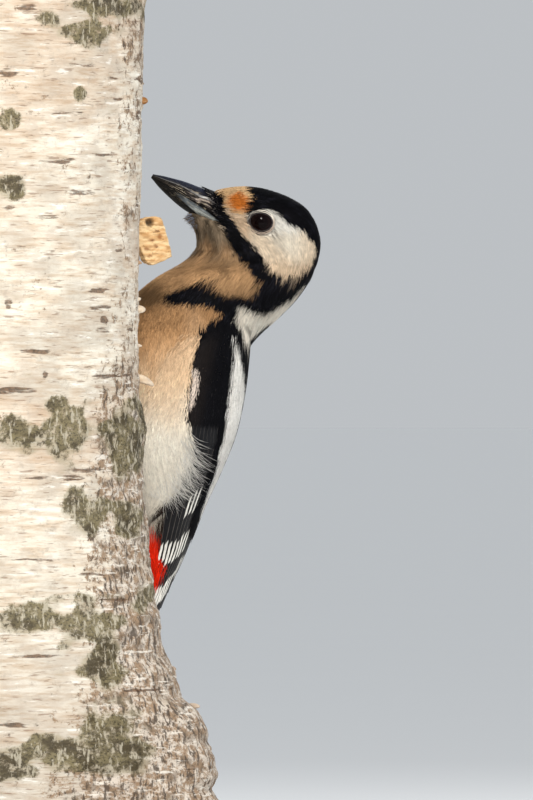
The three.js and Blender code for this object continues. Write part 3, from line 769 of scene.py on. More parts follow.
def throat_colours(column, row, streak, fine):
    """Warm tan, streaked with grey towards the chin, with painted shade above the breast patch."""
    warm = blend_colours(smooth(-0.6, 0.8, streak), THROAT * 0.8, THROAT * 1.2)
    grey = blend_colours(smooth(-0.5, 0.5, fine), CHIN * 0.35, CHIN * 1.15)
    chin = smooth(*THROAT_TO_CHIN, row + 6 * streak - 0.15 * (column - CHIN_COLUMN))
    shade = 0.4 * smooth(*THROAT_SHADE_ROWS, row + 5 * streak) * smooth(*THROAT_SHADE_COLUMNS, column)
    return blend_colours(chin, warm, grey) * (1 - shade)[..., None]


def cheek_colours(column, row, streak):
    """White by the eye, turning to buff and tan towards the bill, the nape and the moustache."""
    lore = smooth(-14, 2, row - LORE_ROW - 1.02 * (column - LORE_COLUMN)) * smooth(*LORE_TOP, row)
    rear = smooth(*CHEEK_REAR, column + 5 * streak)
    front = smooth(*BEFORE_EYE, column) * smooth(*BEFORE_EYE_TOP, row)
    front = front * smooth(*BEFORE_EYE_END, row - 0.6 * (column - BEFORE_EYE_COLUMN))
    return overlaid(
        BROW_WHITE,
        (smooth(*BROW_END, row + 4 * streak), CHEEK_WHITE),
        (smooth(*CHEEK_LOWER, row + 4 * streak + 0.12 * (column - CHEEK_COLUMN)), CHEEK_BUFF),
        (np.maximum(0.75 * lore, 0.7 * rear), CHEEK_BUFF),
        (0.8 * smooth(*CHEEK_END, row + 6 * streak), CHEEK_TAN),
        (0.85 * front, LORE_TAN),
    )


def frontal_colours(point, column, row):
    """Buff with an orange middle."""
    distance = np.hypot(column - ORANGE_CENTRE[0], row - ORANGE_CENTRE[1])
    distance = distance + 3.5 * lattice_noise(point, 1.8, 14)
    buff = smooth(0.5 * ORANGE_REACH, 1.3 * ORANGE_REACH, distance)
    return blend_colours(buff, FRONTAL_ORANGE, FRONTAL_BUFF)


def plumage(station, angle, rng=None):
    """The plumage's colour on the body, with ragged edges. Both sides carry the left side's markings."""
    angle = np.mod(angle, 360)
    mirrored = np.where(angle > 180, 360 - angle, angle)
    point, _, _, normal = BODY.frame(station, mirrored)
    places = seen(to_model(point))
    if rng is not None:
        places = places + rng.normal(0, RAGGED, places.shape)
    column, row = places[..., 0], places[..., 1]
    streak = lattice_noise(point, 3.2, 5, (1, 1, 0.35))
    fine = lattice_noise(point, 1.3, 6, (1, 1, 0.4))
    vent = smooth(*VENT_TOP, row + 4 * streak - 0.8 * (column - VENT_COLUMN)) * (mirrored < VENT_DEGREES)
    colour = blend_colours(vent, underparts(point, row), RED)
    face = (row < FACE_END_ROW) & ((station > FACE_FROM) | (column > FACE_COLUMN))
    face = face & ~inside(places, THROAT_OUTLINE)
    neck_patch = inside(places, NECK_PATCH_OUTLINE)
    neck_side = (row > NECK_ROWS[0]) & (row < NECK_ROWS[1])
    neck_side = neck_side & (column > NECK_COLUMN) & (mirrored > NECK_DEGREES)
    for where, patch in (
        (inside(places, WING_SHADE_OUTLINE), WING_SHADE),
        ((row < THROAT_END_ROW) & (station > THROAT_FROM), throat_colours(column, row, streak, fine)),
        (face, cheek_colours(column, row, streak)),
        (inside(places, FRONTAL_PATCH_OUTLINE), frontal_colours(point, column, row)),
        (neck_side | neck_patch, NECK_WHITE),
    ):
        colour = np.where(where[..., None], patch, colour)
    tone = 1 + 0.12 * streak + (0 if rng is None else rng.normal(0, 0.05, streak.shape))
    colour = colour * tone[..., None]

    black = np.any([inside(places, outline) for outline in BLACK_OUTLINES], axis=0)
    away = (normal @ CAMERA_SIDE < 0.05) & (mirrored > FAR_SIDE_DEGREES) & (station < FAR_SIDE_END)
    mantle = (mirrored > MANTLE_DEGREES) & (station < MANTLE_END)
    black = (black | away | mantle) & ~(neck_patch & ~inside(places, NECK_EDGE_OUTLINE))
    stripe = NAPE_STRIPE + 2 * lattice_noise(point, 4, 13)
    black = black | ((np.abs(180 - mirrored) < stripe) & (station < STRIPE_END))
    # Painted sheen: pale streaks and scattered bright barbs in the black plumage stand for its glossy
    # highlights.
    sheen = 1 + 0.8 * smooth(0.1, 0.9, fine)
    if rng is not None:
        sheen = sheen + 5.0 * (rng.random(sheen.shape) < 0.12)
    return np.where(black[..., None], BLACK * sheen[..., None], np.clip(colour, 0, 1))


def eye_distance(points):
    """Distance from the nearer eye's middle, seen from the side, its height stretched to its width."""
    ahead, up, _ = np.moveaxis(head_parts(points), -1, 0)
    return np.hypot(ahead, up * 1.1)


def eye_hollow(points):
    """How far the coat sinks, in mm, towards the lower rim of the eye."""
    up = head_parts(points)[..., 1]
    return 1.25 * smooth(8.5, 4.2, eye_distance(points)) * smooth(1.5, -2.5, up)


GAPE_OUTLINE = [
    (196, 176), (205.6, 189.5), (208, 195.3), (210.5, 205), (212.9, 213.5), (214, 218), (211.7, 221),
    (199, 217.5), (186, 214), (178, 206),
]


def bare_face(station, angle):
    """Which places of the body's form are the bare horn at the corner of the bill."""
    mirrored = np.where(angle < 0, -angle, np.where(angle > 180, 360 - angle, angle))
    return inside(seen(to_model(body_point(station, mirrored))), GAPE_OUTLINE) & (station > 17)


def coat_depth(station, angle):
    """How far the skin lies under the outer form, which is more by the eye and under the bill's bare base."""
    belly = np.cos(np.radians(angle)) * 0.5 + 0.5
    torso = 2.0 + 0.9 * belly
    neck = smooth(8.5, 14.5, station)
    face = smooth(17, 22, station)
    tail = smooth(3, 0, station)
    sunk = eye_hollow(body_point(station, angle)) + 1.5 * bare_face(station, angle)
    return torso * (1 - neck) * (1 - 0.6 * tail) + neck * (1.3 - 0.55 * face) + sunk


# ---------------------------------------------------------------- wings, outer form
WING_STATIONS = Table([
    # z, centre, depth, width, lower edge, upper edge
    [217.5, 121.5, 21.6, 21.4, 106, 114],
    [213, 120.8, 23.1, 22.9, 82, 134],
    [204, 118.6, 24.6, 24.2, 71, 146],
    [190, 114.6, 26.2, 25.6, 68, 155],
    [177, 110.6, 26.2, 25.6, 68, 162],
    [165, 107.2, 23.8, 24.1, 71, 168],
    [152, 104, 20, 21.2, 75, 172],
    [137, 102.6, 14.6, 17.4, 76, 173],
    [129, 101, 11.6, 15.6, 76, 173],
    [121, 99.2, 9, 14, 78, 172],
    [108, 94.4, 6.8, 11.4, 84, 168],
    [96, 90.2, 5.4, 8.4, 96, 158],
    [89, 88, 4.6, 6.4, 118, 142],
])
WING_END = WING_STATIONS.end
WING_HEIGHTS = WING_STATIONS.rows[3:-3, 0]
SIDES = {"left": -1, "right": 1}


def wing_point(side):
    """The form of a folded wing at a station and a share from its lower edge, 0, to its upper edge, 1."""

    def point(station, share):
        z, centre, depth, width, lower, upper = np.moveaxis(WING_STATIONS(station), -1, 0)
        angle = np.radians(lower + (upper - lower) * share)
        return np.stack([centre - depth * np.cos(angle), side * width * np.sin(angle), z], -1)

    return point


WING_UNWRAP = unwrap_box((0, WING_END), (0, 1))
WINGS = {
    name: Surface(wing_point(side), (0.02, 0.01), 1, -side, WING_UNWRAP) for name, side in SIDES.items()
}


def wing_station(z):
    """The station of the folded wings at a height."""
    return np.interp(-np.asarray(z, float), -WING_HEIGHTS, np.arange(len(WING_HEIGHTS)))


def under_wing(points):
    """1 where the folded wings cover the body, down to 0 outside their edges."""
    x, y, z = np.moveaxis(points, -1, 0)
    _, centre, depth, width, lower, upper = np.moveaxis(WING_STATIONS(wing_station(z)), -1, 0)
    angle = np.degrees(np.arctan2(np.abs(y) / width, (centre - x) / depth))
    share = (angle - lower) / (upper - lower)
    covered = smooth(0.03, 0.12, share) * smooth(1.0, 0.93, share)
    return covered * (z < WING_HEIGHTS[0] - 2) * (z > WING_HEIGHTS[-1])


# ---------------------------------------------------------------- body coat
EYE_CLEAR, TIP_CLEAR = 4.3, 4.45  # how near to the eye's middle tufts stand and reach
THINNED = 0.93  # the share of tufts left out under the wings


def coat_region(name, slot, stations, angles, spacing, make_coat, material):
    """Tufts over one region of the body, none where the eyes or the wings are."""

    def density(u, v, point):
        clear = (eye_distance(point) > EYE_CLEAR) & ~bare_face(u, v)
        return (1 - THINNED * under_wing(point)) * clear / spacing**2

    u, v = spread(BODY, stations, angles, density)
    point, along, across, _ = BODY.frame(u, v)
    coat = make_coat(u, v, point)
    length = column_of(coat.length, len(u))[:, 0].copy()
    lean = column_of(coat.lean, len(u))[:, 0]
    for _ in range(3):
        tip = BODY.point(u - length / length_of(along), v + lean * length / length_of(across))
        length = np.where(eye_distance(tip) < TIP_CLEAR, 0.55 * length, length)
    coat.length = length
    u_tip = u - SHOWN_AT * length / length_of(along)
    grow_tufts(name, slot, material, BODY, u, v, coat, plumage(u_tip, v, dice(name + " colour")))


def head_coat(length, width=1.7, lift=0.12, **more):
    """Tufts that shorten towards the bill and lie in the hollow of the eye."""

    def make_coat(u, v, p):
        shortened = length * (1 - 0.45 * smooth(17, 22.5, u))
        return Coat(shortened, width, coat_depth(u, v), lift, above=-eye_hollow(p), **more)

    return make_coat


def trunk_coat(u, v, p):
    """Longer tufts, loose on the belly and fluffed out over the vent."""
    off_back = smooth(125, 100, np.minimum(np.abs(v), 360 - np.abs(v)))
    loose = off_back * smooth(182, 150, p[..., 2])
    vent = off_back * 2.4 * smooth(145, 136, p[..., 2]) * (0.25 + 0.75 * smooth(121, 135, p[..., 2]))
    return Coat(7.5 + 4 * loose, 3.2, coat_depth(u, v), 0.2 + 0.5 * loose, breadth=0.24, sway=0.1, above=vent)


def build_coat(material):
    head, nape = (HEAD_START, FACE_END), (TORSO_TOP, HEAD_START)
    cheek = {"width": 1.5, "breadth": 0.18}
    for name, slot, stations, angles, spacing, make_coat in (
        ("coat_crown", "crown_feathers", head, (118, 242), 0.78, head_coat(4.6)),
        ("coat_cheek_left", "white_feathers", head, (52, 118), 0.78, head_coat(3.6, lean=0.45, **cheek)),
        ("coat_cheek_right", "white_feathers", head, (242, 308), 0.78, head_coat(3.6, lean=-0.45, **cheek)),
        ("coat_throat", "buff_feathers", head, (-52, 52), 0.85, head_coat(4.6, lift=0.25)),
        ("coat_nape", "black_feathers", nape, (90, 270), 0.95, head_coat(6.5, 2.4, 0.15)),
        ("coat_neck_front", "buff_feathers", nape, (-90, 90), 0.95, head_coat(6.5, 2.4, 0.2)),
        ("coat_breast", "buff_feathers", (6.5, TORSO_TOP), (-100, 100), 1.08, trunk_coat),
        ("coat_belly", "white_feathers", (3.3, 6.5), (-100, 100), 1.12, trunk_coat),
        ("coat_mantle", "black_feathers", (2.5, TORSO_TOP), (100, 260), 1.25, trunk_coat),
        ("coat_vent", "red_feathers", (0.2, 3.3), (-130, 130), 1.1, trunk_coat),
    ):
        coat_region(name, slot, stations, angles, spacing, make_coat, material)


# ---------------------------------------------------------------- vanes
MOST_VANES_ABREAST = 20  # vanes lie side by side on their bake map, in rows of at most this many
VANE_MARGIN = 0.06


def vane_material():
    """Smooth feather vanes. Vane holds mm from the feather's tip, -1 to 1 across it and its bars' phase.

    Bar holds the bars' period, half their share of it and how far from the tip they reach.
    """
    paint = Painter("vanes")
    base = paint.coat()
    from_tip, across, phase = paint.parts(paint.carried("Vane"))
    period, duty, reach = paint.parts(paint.carried("Bar"))
    wobble = paint.grain(420)
    side = paint.math("ABSOLUTE", across)
    slanted = paint.add(from_tip, paint.times(side, 4.0))
    along = paint.math("DIVIDE", paint.add(slanted, paint.times(wobble, 1.4)), period)
    wave = paint.math("ABSOLUTE", paint.math("SUBTRACT", paint.math("FRACT", paint.add(along, phase)), 0.5))
    bar = paint.between(wave, paint.math("SUBTRACT", duty, 0.03), paint.add(duty, 0.03), 1.0, 0.0)
    rough_across = paint.add(across, paint.times(wobble, 0.24))
    inner = paint.between(rough_across, -0.54, -0.46, 1.0, 0.0)
    outer = paint.between(rough_across, -0.88, -0.80)
    bar = paint.times(bar, paint.times(inner, outer))
    bar = paint.times(bar, paint.math("LESS_THAN", from_tip, reach))
    bar = paint.times(bar, paint.math("GREATER_THAN", from_tip, 5.0))
    barbs = paint.math("SINE", paint.times(paint.add(from_tip, paint.times(side, 2.4)), 15.0))
    grain = paint.grain((1500, 1500, 300), detail=2)
    # rim: a pale grey line along each vane's outer edge, partly the feather's own pale edge and partly a
    # painted highlight on it.
    rim = paint.between(paint.add(across, paint.times(wobble, 0.12)), -0.9, -0.8, 0.5, 0.0)
    rim = paint.times(rim, paint.between(duty, 0.0, 0.05, 0.4, 1.0))
    colour = paint.mix(rim, base, linear(112, 108, 104))
    colour = paint.mix(bar, colour, linear(238, 236, 228))
    colour = paint.layer(colour, grain, 0.35, 0.7, 0.3, (0, 0, 0))
    bump = paint.bump(paint.add(paint.times(barbs, 0.4), grain), 0.00006, 0.5)
    roughness = paint.between(paint.brightness(colour), 0.02, 0.3, 0.42, 0.75)
    return paint.finish(colour, roughness, bump, Specular_IOR_Level=0.14, Sheen_Weight=0.02)


class Vanes:
    """Feathers of one kind: an array of numbers for each of their measures, in mm or in surface places."""

    def __init__(self, u0, v0, u1, v1, half, **more):
        measures = {"u0": u0, "v0": v0, "u1": u1, "v1": v1, "half": half}
        measures.update({"sharp": 2, "phase": 0, "period": 13, "duty": 0, "shaft": 0}, **more)
        for key, value in measures.items():
            setattr(self, key, np.broadcast_to(np.asarray(value, float), (len(u0),)))


def grow_vanes(name, slot, material, surface, vanes, colours, nodes, steps=16, columns=9):
    """Closed thin blades that follow a surface, each with a cambered top, a shaft ridge and a rounded tip."""
    rng = dice(name)
    count, around = len(vanes.u0), 2 * columns
    t = 1 - (1 - np.linspace(0, 1, steps + 1)) ** 1.5
    x = np.linspace(-1, 1, columns)

    def wide(values):
        return np.asarray(values)[:, None, None]

    t_row = t[None, :, None] + np.zeros((count, 1, 1))
    u = wide(vanes.u0) + wide(vanes.u1 - vanes.u0) * t_row
    v = wide(vanes.v0) + wide(vanes.v1 - vanes.v0) * t_row
    middle, _, across, _ = surface.frame(u[..., 0], v[..., 0])
    late = np.clip((t_row - wide(vanes.round_from)) / (1 - wide(vanes.round_from)), 0, 1)
    taper = np.maximum(1 - late ** wide(vanes.sharp), 0.004) ** 0.5
    notch = 1 + 0.05 * rng.normal(0, 1, (count, steps + 1, 1)) * (t_row > 0.3)
    half = wide(vanes.half) * np.minimum(1, 0.6 + 1.6 * t_row) * taper * notch
    uu = u + 0 * x
    vv = v + half * x / length_of(across)[..., None]
    point, _, _, normal = surface.frame(uu, vv)
    shaft = 0.14 * hump(x, wide(vanes.shaft), 0.07) * (1 - 0.8 * t_row)
    lens = np.sqrt(np.maximum(1 - x**2, 0.0)) + 0 * uu
    top = wide(vanes.height) + wide(vanes.rise) * t_row + wide(vanes.tilt) * x
    top = top + wide(vanes.camber) * (lens - 1) + shaft
    thick = wide(vanes.thick) * (0.15 + 0.85 * lens) * np.minimum(1, 0.25 + taper)
    upper = point + normal * top[..., None]
    lower = point + normal * (top - thick - shaft)[..., None]
    ring = np.concatenate([upper, lower[:, :, ::-1]], 2)

    pairs = np.arange(columns - 1)
    cap = np.stack([pairs, pairs + 1, around - 2 - pairs, around - 1 - pairs], -1)
    one = np.vstack([grid_faces(steps + 1, around, closed=True), cap[:, ::-1], steps * around + cap])
    faces = (one[None] + (steps + 1) * around * np.arange(count)[:, None, None]).reshape(-1, 4)
    facing = np.cross(np.diff(upper, axis=1)[:, :, :-1], np.diff(upper, axis=2)[:, :-1])
    outwards = np.einsum("ijkl,ijkl->ijk", facing, normal[:, :-1, :-1]).mean() > 0
    faces = faces if outwards else faces[:, ::-1]

    run = np.concatenate([np.zeros((count, 1)), np.cumsum(length_of(np.diff(middle, axis=1)), axis=1)], 1)
    from_tip = (run[:, -1:] - run)[..., None]
    two_sided = np.concatenate([x, x[::-1]])
    carried = {
        "Vane": (from_tip, two_sided, wide(vanes.phase)),
        "Bar": (wide(vanes.period), wide(vanes.duty / 2), wide(vanes.reach)),
    }
    shape = (count, steps + 1, around)
    attributes = {
        key: np.stack([np.broadcast_to(part, shape) for part in parts], -1) for key, parts in carried.items()
    }
    cells = np.array([min(count, MOST_VANES_ABREAST), math.ceil(count / MOST_VANES_ABREAST)])
    corner = np.stack([np.arange(count) % cells[0], np.arange(count) // cells[0]], -1)[:, None, None, :]
    local = np.stack(np.broadcast_arrays((two_sided + 1) / 2, t[:, None]), -1)
    uv = (corner + VANE_MARGIN + (1 - 2 * VANE_MARGIN) * local) / cells
    painted = np.broadcast_to(colours[:, None, None, :], (*shape, 3))
    new_piece(name, ring, faces, material, slot, nodes, colours=painted, attributes=attributes, uv=uv)


# ---------------------------------------------------------------- wings
# Heights of the tips of the flight feathers, from the outermost primary to the innermost secondary.
FLIGHT_TIPS = [97, 91, 89.5, 91.5, 96, 102, 108, 114, 119, 124, 128, 131, 134, 137, 141, 145, 150, 155]
FLIGHT_ROOT = 172  # height of the flight feathers' roots
PRIMARIES, BARRED = 9, 16  # how many of the flight feathers are primaries, and how many have white bars
BAR_PERIOD, BAR_HEIGHT = 15.6, 124.5  # the white bars' spacing and the height of one row
# How high the bars reach on the outermost primaries, the other primaries and the secondaries.
OUTERMOST, OUTER_BAR_TOP, BAR_TOP, INNER_BAR_TOP = 4, 148, 165, 158
WING_SLIVER_OUTLINE = [
    (194.5, 370), (197.4, 373), (197.6, 384), (195.4, 398), (193.2, 409), (190, 407), (191.2, 396),
    (193.4, 384),
]
SLIVER_PINK = linear(238, 220, 206)
SCAPULAR_OUTLINE = [
    (234, 340), (235.2, 352), (235, 361), (234, 369), (231.9, 378), (231.4, 389), (229.9, 398), (229.2, 407),
    (227.3, 415), (226.3, 425), (224.8, 434), (221.7, 443), (219.2, 452), (217.6, 464), (213.5, 475),
    (208.9, 488), (204.3, 501), (200, 512), (204, 516), (212, 497), (218, 483), (223.5, 470), (229, 457),
    (235, 441), (239.5, 428), (242.5, 414), (244.4, 401), (245.2, 388), (244.4, 376), (242, 364), (239, 353),
    (236.5, 346),
]
# Heights and the share across the wing up to which the scapulars' white reaches.
WHITE_REACH = np.array([
    (90, 0.5), (130, 0.58), (150, 0.64), (165, 0.70), (180, 0.76), (190, 0.79), (205, 0.88), (212, 1),
])
WING_BROWN = linear(31, 26, 25)
SCAPULARS_FROM, SHOULDER_FROM, SCAPULAR_SPACING = 148, 183, 0.95


def wing_plumage(station, share, rng):
    """Colour of the soft feathers over the shoulder and the scapulars. Both wings carry the left wing's."""
    point, _, _, _ = WINGS["left"].frame(station, share)
    places = seen(to_model(point))
    sliver = inside(places, WING_SLIVER_OUTLINE)
    places = places + rng.normal(0, 0.5, places.shape)
    white = inside(places, SCAPULAR_OUTLINE) & (share < np.interp(point[..., 2], *WHITE_REACH.T))
    neck = inside(places, NECK_PATCH_OUTLINE) & ~inside(places, BREAST_PATCH_OUTLINE)
    brown = smooth(0.24, 0.08, share) * smooth(212, 204, point[..., 2])
    # Painted sheen: pale streaks in the black plumage stand for its glossy highlights.
    sheen = 1 + 0.8 * smooth(0.1, 0.9, lattice_noise(point, 1.5, 16, (1, 1, 0.4)))
    colour = blend_colours(0.85 * brown, BLACK * sheen[..., None], WING_BROWN)
    for where, patch in ((sliver, SLIVER_PINK), (white, WHITE), (neck, NECK_WHITE)):
        colour = np.where(where[..., None], patch, colour)
    return colour


def build_wing(name, coat_paint, vane_paint):
    """The flight feathers, the coverts and the soft tufts of the shoulder and the scapulars."""
    surface = WINGS[name]
    build_flight_feathers(name, surface, vane_paint)
    build_coverts(name, surface, vane_paint)

    def density(u, v, point):
        z = point[..., 2]
        scapulars = (v > 0.40) & (z > SCAPULARS_FROM)
        return (scapulars | (z > SHOULDER_FROM)) / SCAPULAR_SPACING**2

    u, v = spread(surface, (0.1, 7.4), (-0.02, 1.06), density)
    point, along, _, _ = surface.frame(u, v)
    scapular = smooth(0.36, 0.46, v)
    length = (5.5 + 2.5 * scapular) * np.minimum(1, 0.45 + 0.4 * u)
    rng = dice("scapulars " + name)
    colours = wing_plumage(u + SHOWN_AT * length / length_of(along), v, rng)
    above = 0.12 + 0.3 * scapular * smooth(195, 180, point[..., 2])
    coat = Coat(length, 2.4, 0.75, 0.06, sway=0.05, above=above)
    grow_tufts(f"scapulars_{name}", "white_feathers", coat_paint, surface, u, v, coat, colours)


def build_flight_feathers(name, surface, material):
    rank = np.arange(len(FLIGHT_TIPS))
    share = 0.03 + 0.93 * (rank / rank[-1]) ** 0.95
    tips = np.array(FLIGHT_TIPS, float)
    half = np.full(len(rank), 2.5)
    u0, u1 = wing_station(np.full(len(rank), float(FLIGHT_ROOT))), wing_station(tips)
    _, _, across, _ = surface.frame(0.5 * (u0 + u1), share)
    shift = 0.75 * half / length_of(across)
    dark = np.broadcast_to(linear(13, 12, 15), (len(rank), 3))
    rng = dice("bars " + name)
    bar_height = BAR_HEIGHT + 0.9 * np.minimum(rank, 7) + 5 * (rank > 7) + rng.normal(0, 1.1, len(rank))
    inner_top = np.where(rank < PRIMARIES, BAR_TOP, INNER_BAR_TOP)
    bar_top = np.where(rank < OUTERMOST, OUTER_BAR_TOP, inner_top)
    vanes = Vanes(
        u0, share + 0.4 * shift, u1, np.clip(share + 0.5 * shift, 0.05, 0.97), half,
        height=-0.25, rise=0.15, tilt=-0.24, camber=0.1, thick=0.14, shaft=-0.3,
        round_from=np.where(rank < PRIMARIES, 0.9, 0.86), reach=bar_top - tips,
        phase=np.mod(0.5 - (bar_height - tips + 2.3) / BAR_PERIOD, 1), period=BAR_PERIOD,
        duty=np.where(rank < BARRED, rng.uniform(0.38, 0.54, len(rank)), 0.0),
    )
    grow_vanes(f"flight_feathers_{name}", "flight_feathers", material, surface, vanes, dark,
               (f"primaries_{name}",), steps=30, columns=9)


def build_coverts(name, surface, material):
    """Rows of coverts, each over the roots of the row below."""
    rows = [
        # tip height at the lower edge, length, half width, how many, highest share, height over the form
        (160, 19, 2.4, 14, 0.62, -0.12),
        (169, 15, 2.2, 14, 0.54, -0.06),
        (179, 12, 2.0, 14, 0.52, 0.0),
    ]
    parts = []
    for row, (tip, length, half, count, top, height) in enumerate(rows):
        share = (np.arange(count) + 0.5 * (row % 2)) / count * (top - 0.05) + 0.08
        slope = tip + 7 * (share / top)
        parts.append(np.stack([
            wing_station(slope + length), share + 0.03, wing_station(slope), share + 0.05,
            np.full(count, half), np.full(count, height),
        ]))
    u0, v0, u1, v1, half, height = np.concatenate(parts, 1)
    rng = dice("coverts " + name)
    v1 = v1 + rng.normal(0, 0.006, len(v1))
    vanes = Vanes(u0, v0, u1, v1, half, height=height - 0.2, rise=0.12, tilt=-0.16, camber=0.12, thick=0.12,
                  round_from=0.62, reach=-1)
    tone = rng.uniform(0.9, 1.6, (len(u0), 1))
    brown = smooth(0.24, 0.08, v1)[:, None]
    colours = BLACK * tone * (1 - 0.8 * brown) + 0.8 * brown * WING_BROWN
    grow_vanes(f"coverts_{name}", "black_feathers", material, surface, vanes, colours, (f"wing_{name}",))


# ---------------------------------------------------------------- tail
TAIL_LINE = Table([(111.6, 0, 141), (96.2, 0, 107), (86.2, 0, 81), (81.4, 0, 60)])
RECTRIX_SHORTER = [0, 4, 11, 21, 32]
RECTRIX_FAN = 2.1


def tail_point(along, sideways):
    centre = TAIL_LINE(along * TAIL_LINE.end)
    return centre + np.stack([0 * sideways, sideways, 0 * sideways], -1)


TAIL = Surface(tail_point, (0.01, 0.2), 1, 1, unwrap_box((0, 1), (-20, 20)))


def build_tail(material):
    pair = np.repeat(np.arange(len(RECTRIX_SHORTER)), 2)
    side = np.tile([-1.0, 1.0], len(RECTRIX_SHORTER))
    reach = 1 - np.array(RECTRIX_SHORTER)[pair] / TAIL_LENGTH
    root = 0.7 + 0.9 * pair
    spread_mm = root + reach * TAIL_LENGTH * np.tan(np.radians(RECTRIX_FAN * (pair + 0.45)))
    vanes = Vanes(
        0 * reach, side * root, reach, side * spread_mm, 4.5 - 0.35 * pair,
        height=0.45 - 0.45 * pair, rise=0.36 * pair, tilt=-0.15 * side, camber=0.5, thick=0.45,
        round_from=0.55, sharp=1.25, phase=0.3 + 0.11 * pair, period=11.5 + 0 * reach,
        duty=np.select([pair == 4, pair == 3], [0.62, 0.5], 0.0), reach=60, shaft=0.0,
    )
    black = np.broadcast_to(linear(30, 28, 30), (len(pair), 3))
    grow_vanes("tail_feathers", "flight_feathers", material, TAIL, vanes, black, ("tail",), 30, 11)


# ---------------------------------------------------------------- eyes and lids
PUPIL_EDGE, IRIS_RIM = 30, (50, 57)  # degrees from the eye's middle
PUPIL_BLACK, IRIS_BROWN, RIM_BLACK = linear(9, 3, 4), linear(18, 8, 8), linear(6, 4, 6)
LID_HEIGHT = 0.77  # the opening's height for its width
LID_TILT = math.radians(20)  # how far the opening is turned back from the head's own axes
# The folds round each eye: radius seen from the side, half width in mm and how far each climbs from the ball
# to the feathers.
LID_FOLDS = [(3.82, 0.24, 0.0), (4.18, 0.17, 0.35), (4.5, 0.2, 0.72)]
LID_DARK, LID_CREAM, LID_PINK = linear(34, 26, 28), linear(230, 222, 208), linear(176, 160, 146)


def build_eye(name, side):
    """A wet dark ball, its iris a little redder than its pupil. side is 1 for the left eye."""
    tilt = np.radians(np.linspace(1, 179, 48))[:, None]
    turn = full_turn(64)[None, :]
    out, ahead, up = np.cos(tilt) + 0 * turn, np.sin(tilt) * np.cos(turn), np.sin(tilt) * np.sin(turn)
    spacing = side * (EYE_HALF_SPACING + EYEBALL_RADIUS * out)
    points, faces = closed_loft(in_head(EYEBALL_RADIUS * ahead, EYEBALL_RADIUS * up, spacing))
    across = np.degrees(tilt + 0 * turn)
    iris = smooth(PUPIL_EDGE - 2, PUPIL_EDGE + 4, across)
    ray = noise_over(6 * np.cos(turn) + 0 * tilt, 6 * np.sin(turn) + 0 * tilt, 0, seed=31)
    colours = blend_colours(iris, PUPIL_BLACK, IRIS_BROWN * (1 + 0.3 * ray)[..., None])
    colours = blend_colours(0.85 * smooth(*IRIS_RIM, across), colours, RIM_BLACK)
    paint = Painter(f"eye_{name}")
    material = paint.finish(paint.coat(), 0.05, IOR=1.36, Specular_IOR_Level=0.12)
    faces = faces if side > 0 else inside_out(faces)
    new_piece(f"eyeball_{name}", points, faces, material, "eye", [f"eye_{name}"], colours=capped(colours))


def face_reach(up):
    """How far from the middle plane the face's feathers lie round the eye, by the height on the head."""
    return 13.0 - 0.30 * up - 0.03 * up**2 - 1.25 * smooth(1.5, -2.5, up)


def build_lids(name, side):
    """Soft rings of bare lid skin, the innermost lying on the eyeball and the outermost on the feathers."""
    around, section = 120, 10
    turn, roll = full_turn(around)[:, None], full_turn(section)[None, :]
    on_ball = EYE_HALF_SPACING + math.sqrt(EYEBALL_RADIUS**2 - LID_FOLDS[0][0] ** 2)
    points, faces, colours = [], [], []
    for fold, (radius, half, climb) in enumerate(LID_FOLDS):
        wobble = 1 + 0.012 * np.sin(3 * turn + fold) + 0.008 * np.sin(13 * turn + 2 * fold)
        r = (radius + half * np.cos(roll)) * wobble
        height = LID_HEIGHT + (1 - LID_HEIGHT) * 0.22 * fold
        long_way, short_way = r * np.cos(turn), height * r * np.sin(turn)
        ahead = long_way * math.cos(LID_TILT) + short_way * math.sin(LID_TILT)
        up = short_way * math.cos(LID_TILT) - long_way * math.sin(LID_TILT)
        on_face = face_reach(up) - 0.35
        ball = EYE_HALF_SPACING + np.sqrt(np.maximum(EYEBALL_RADIUS**2 - ahead**2 - up**2, 0))
        out = np.maximum((1 - climb) * on_ball + climb * on_face, ball - 0.1) + 0.3 * np.sin(roll)
        points.append(in_head(ahead, up, side * out).reshape(-1, 3))
        start = fold * around * section
        last, first = start + (around - 1) * section + np.arange(section), start + np.arange(section)
        seam = np.stack([last, np.roll(last, -1), np.roll(first, -1), first], -1)
        faces += [grid_faces(around, section, closed=True, start=start), seam]

        above = smooth(-0.1, 0.5, np.sin(turn + 0.25)) + 0 * roll
        cream = blend_colours(above, LID_PINK, LID_CREAM)
        # Painted shade: each fold darkens on its side towards the face, in the grooves between the folds.
        groove = smooth(0.2, -0.6, np.sin(roll)) + 0 * turn
        tone = LID_DARK + 0 * cream if fold == 0 else blend_colours(0.5 * groove, cream, LID_DARK)
        # Painted shade in the creases at the front of the eye, in stripes round it.
        front = smooth(0.1, 0.85, np.cos(turn - 0.1)) * (fold >= 1) + 0 * roll
        crease_shade = 0.5 + 0.5 * np.sin(9 * turn + 2.5 * fold)
        colours.append(blend_colours(front * (0.65 + 0.3 * crease_shade), tone, LID_DARK).reshape(-1, 3))
    faces = np.vstack(faces)
    faces = faces if side > 0 else faces[:, ::-1]
    paint = Painter(f"lid_{name}")
    grain = paint.grain(2500, detail=2)
    material = paint.finish(paint.coat(), 0.6, paint.bump(grain, 0.00008, 0.6))
    new_piece(f"lids_{name}", np.vstack(points), faces, material, "scaly_skin", colours=np.vstack(colours))


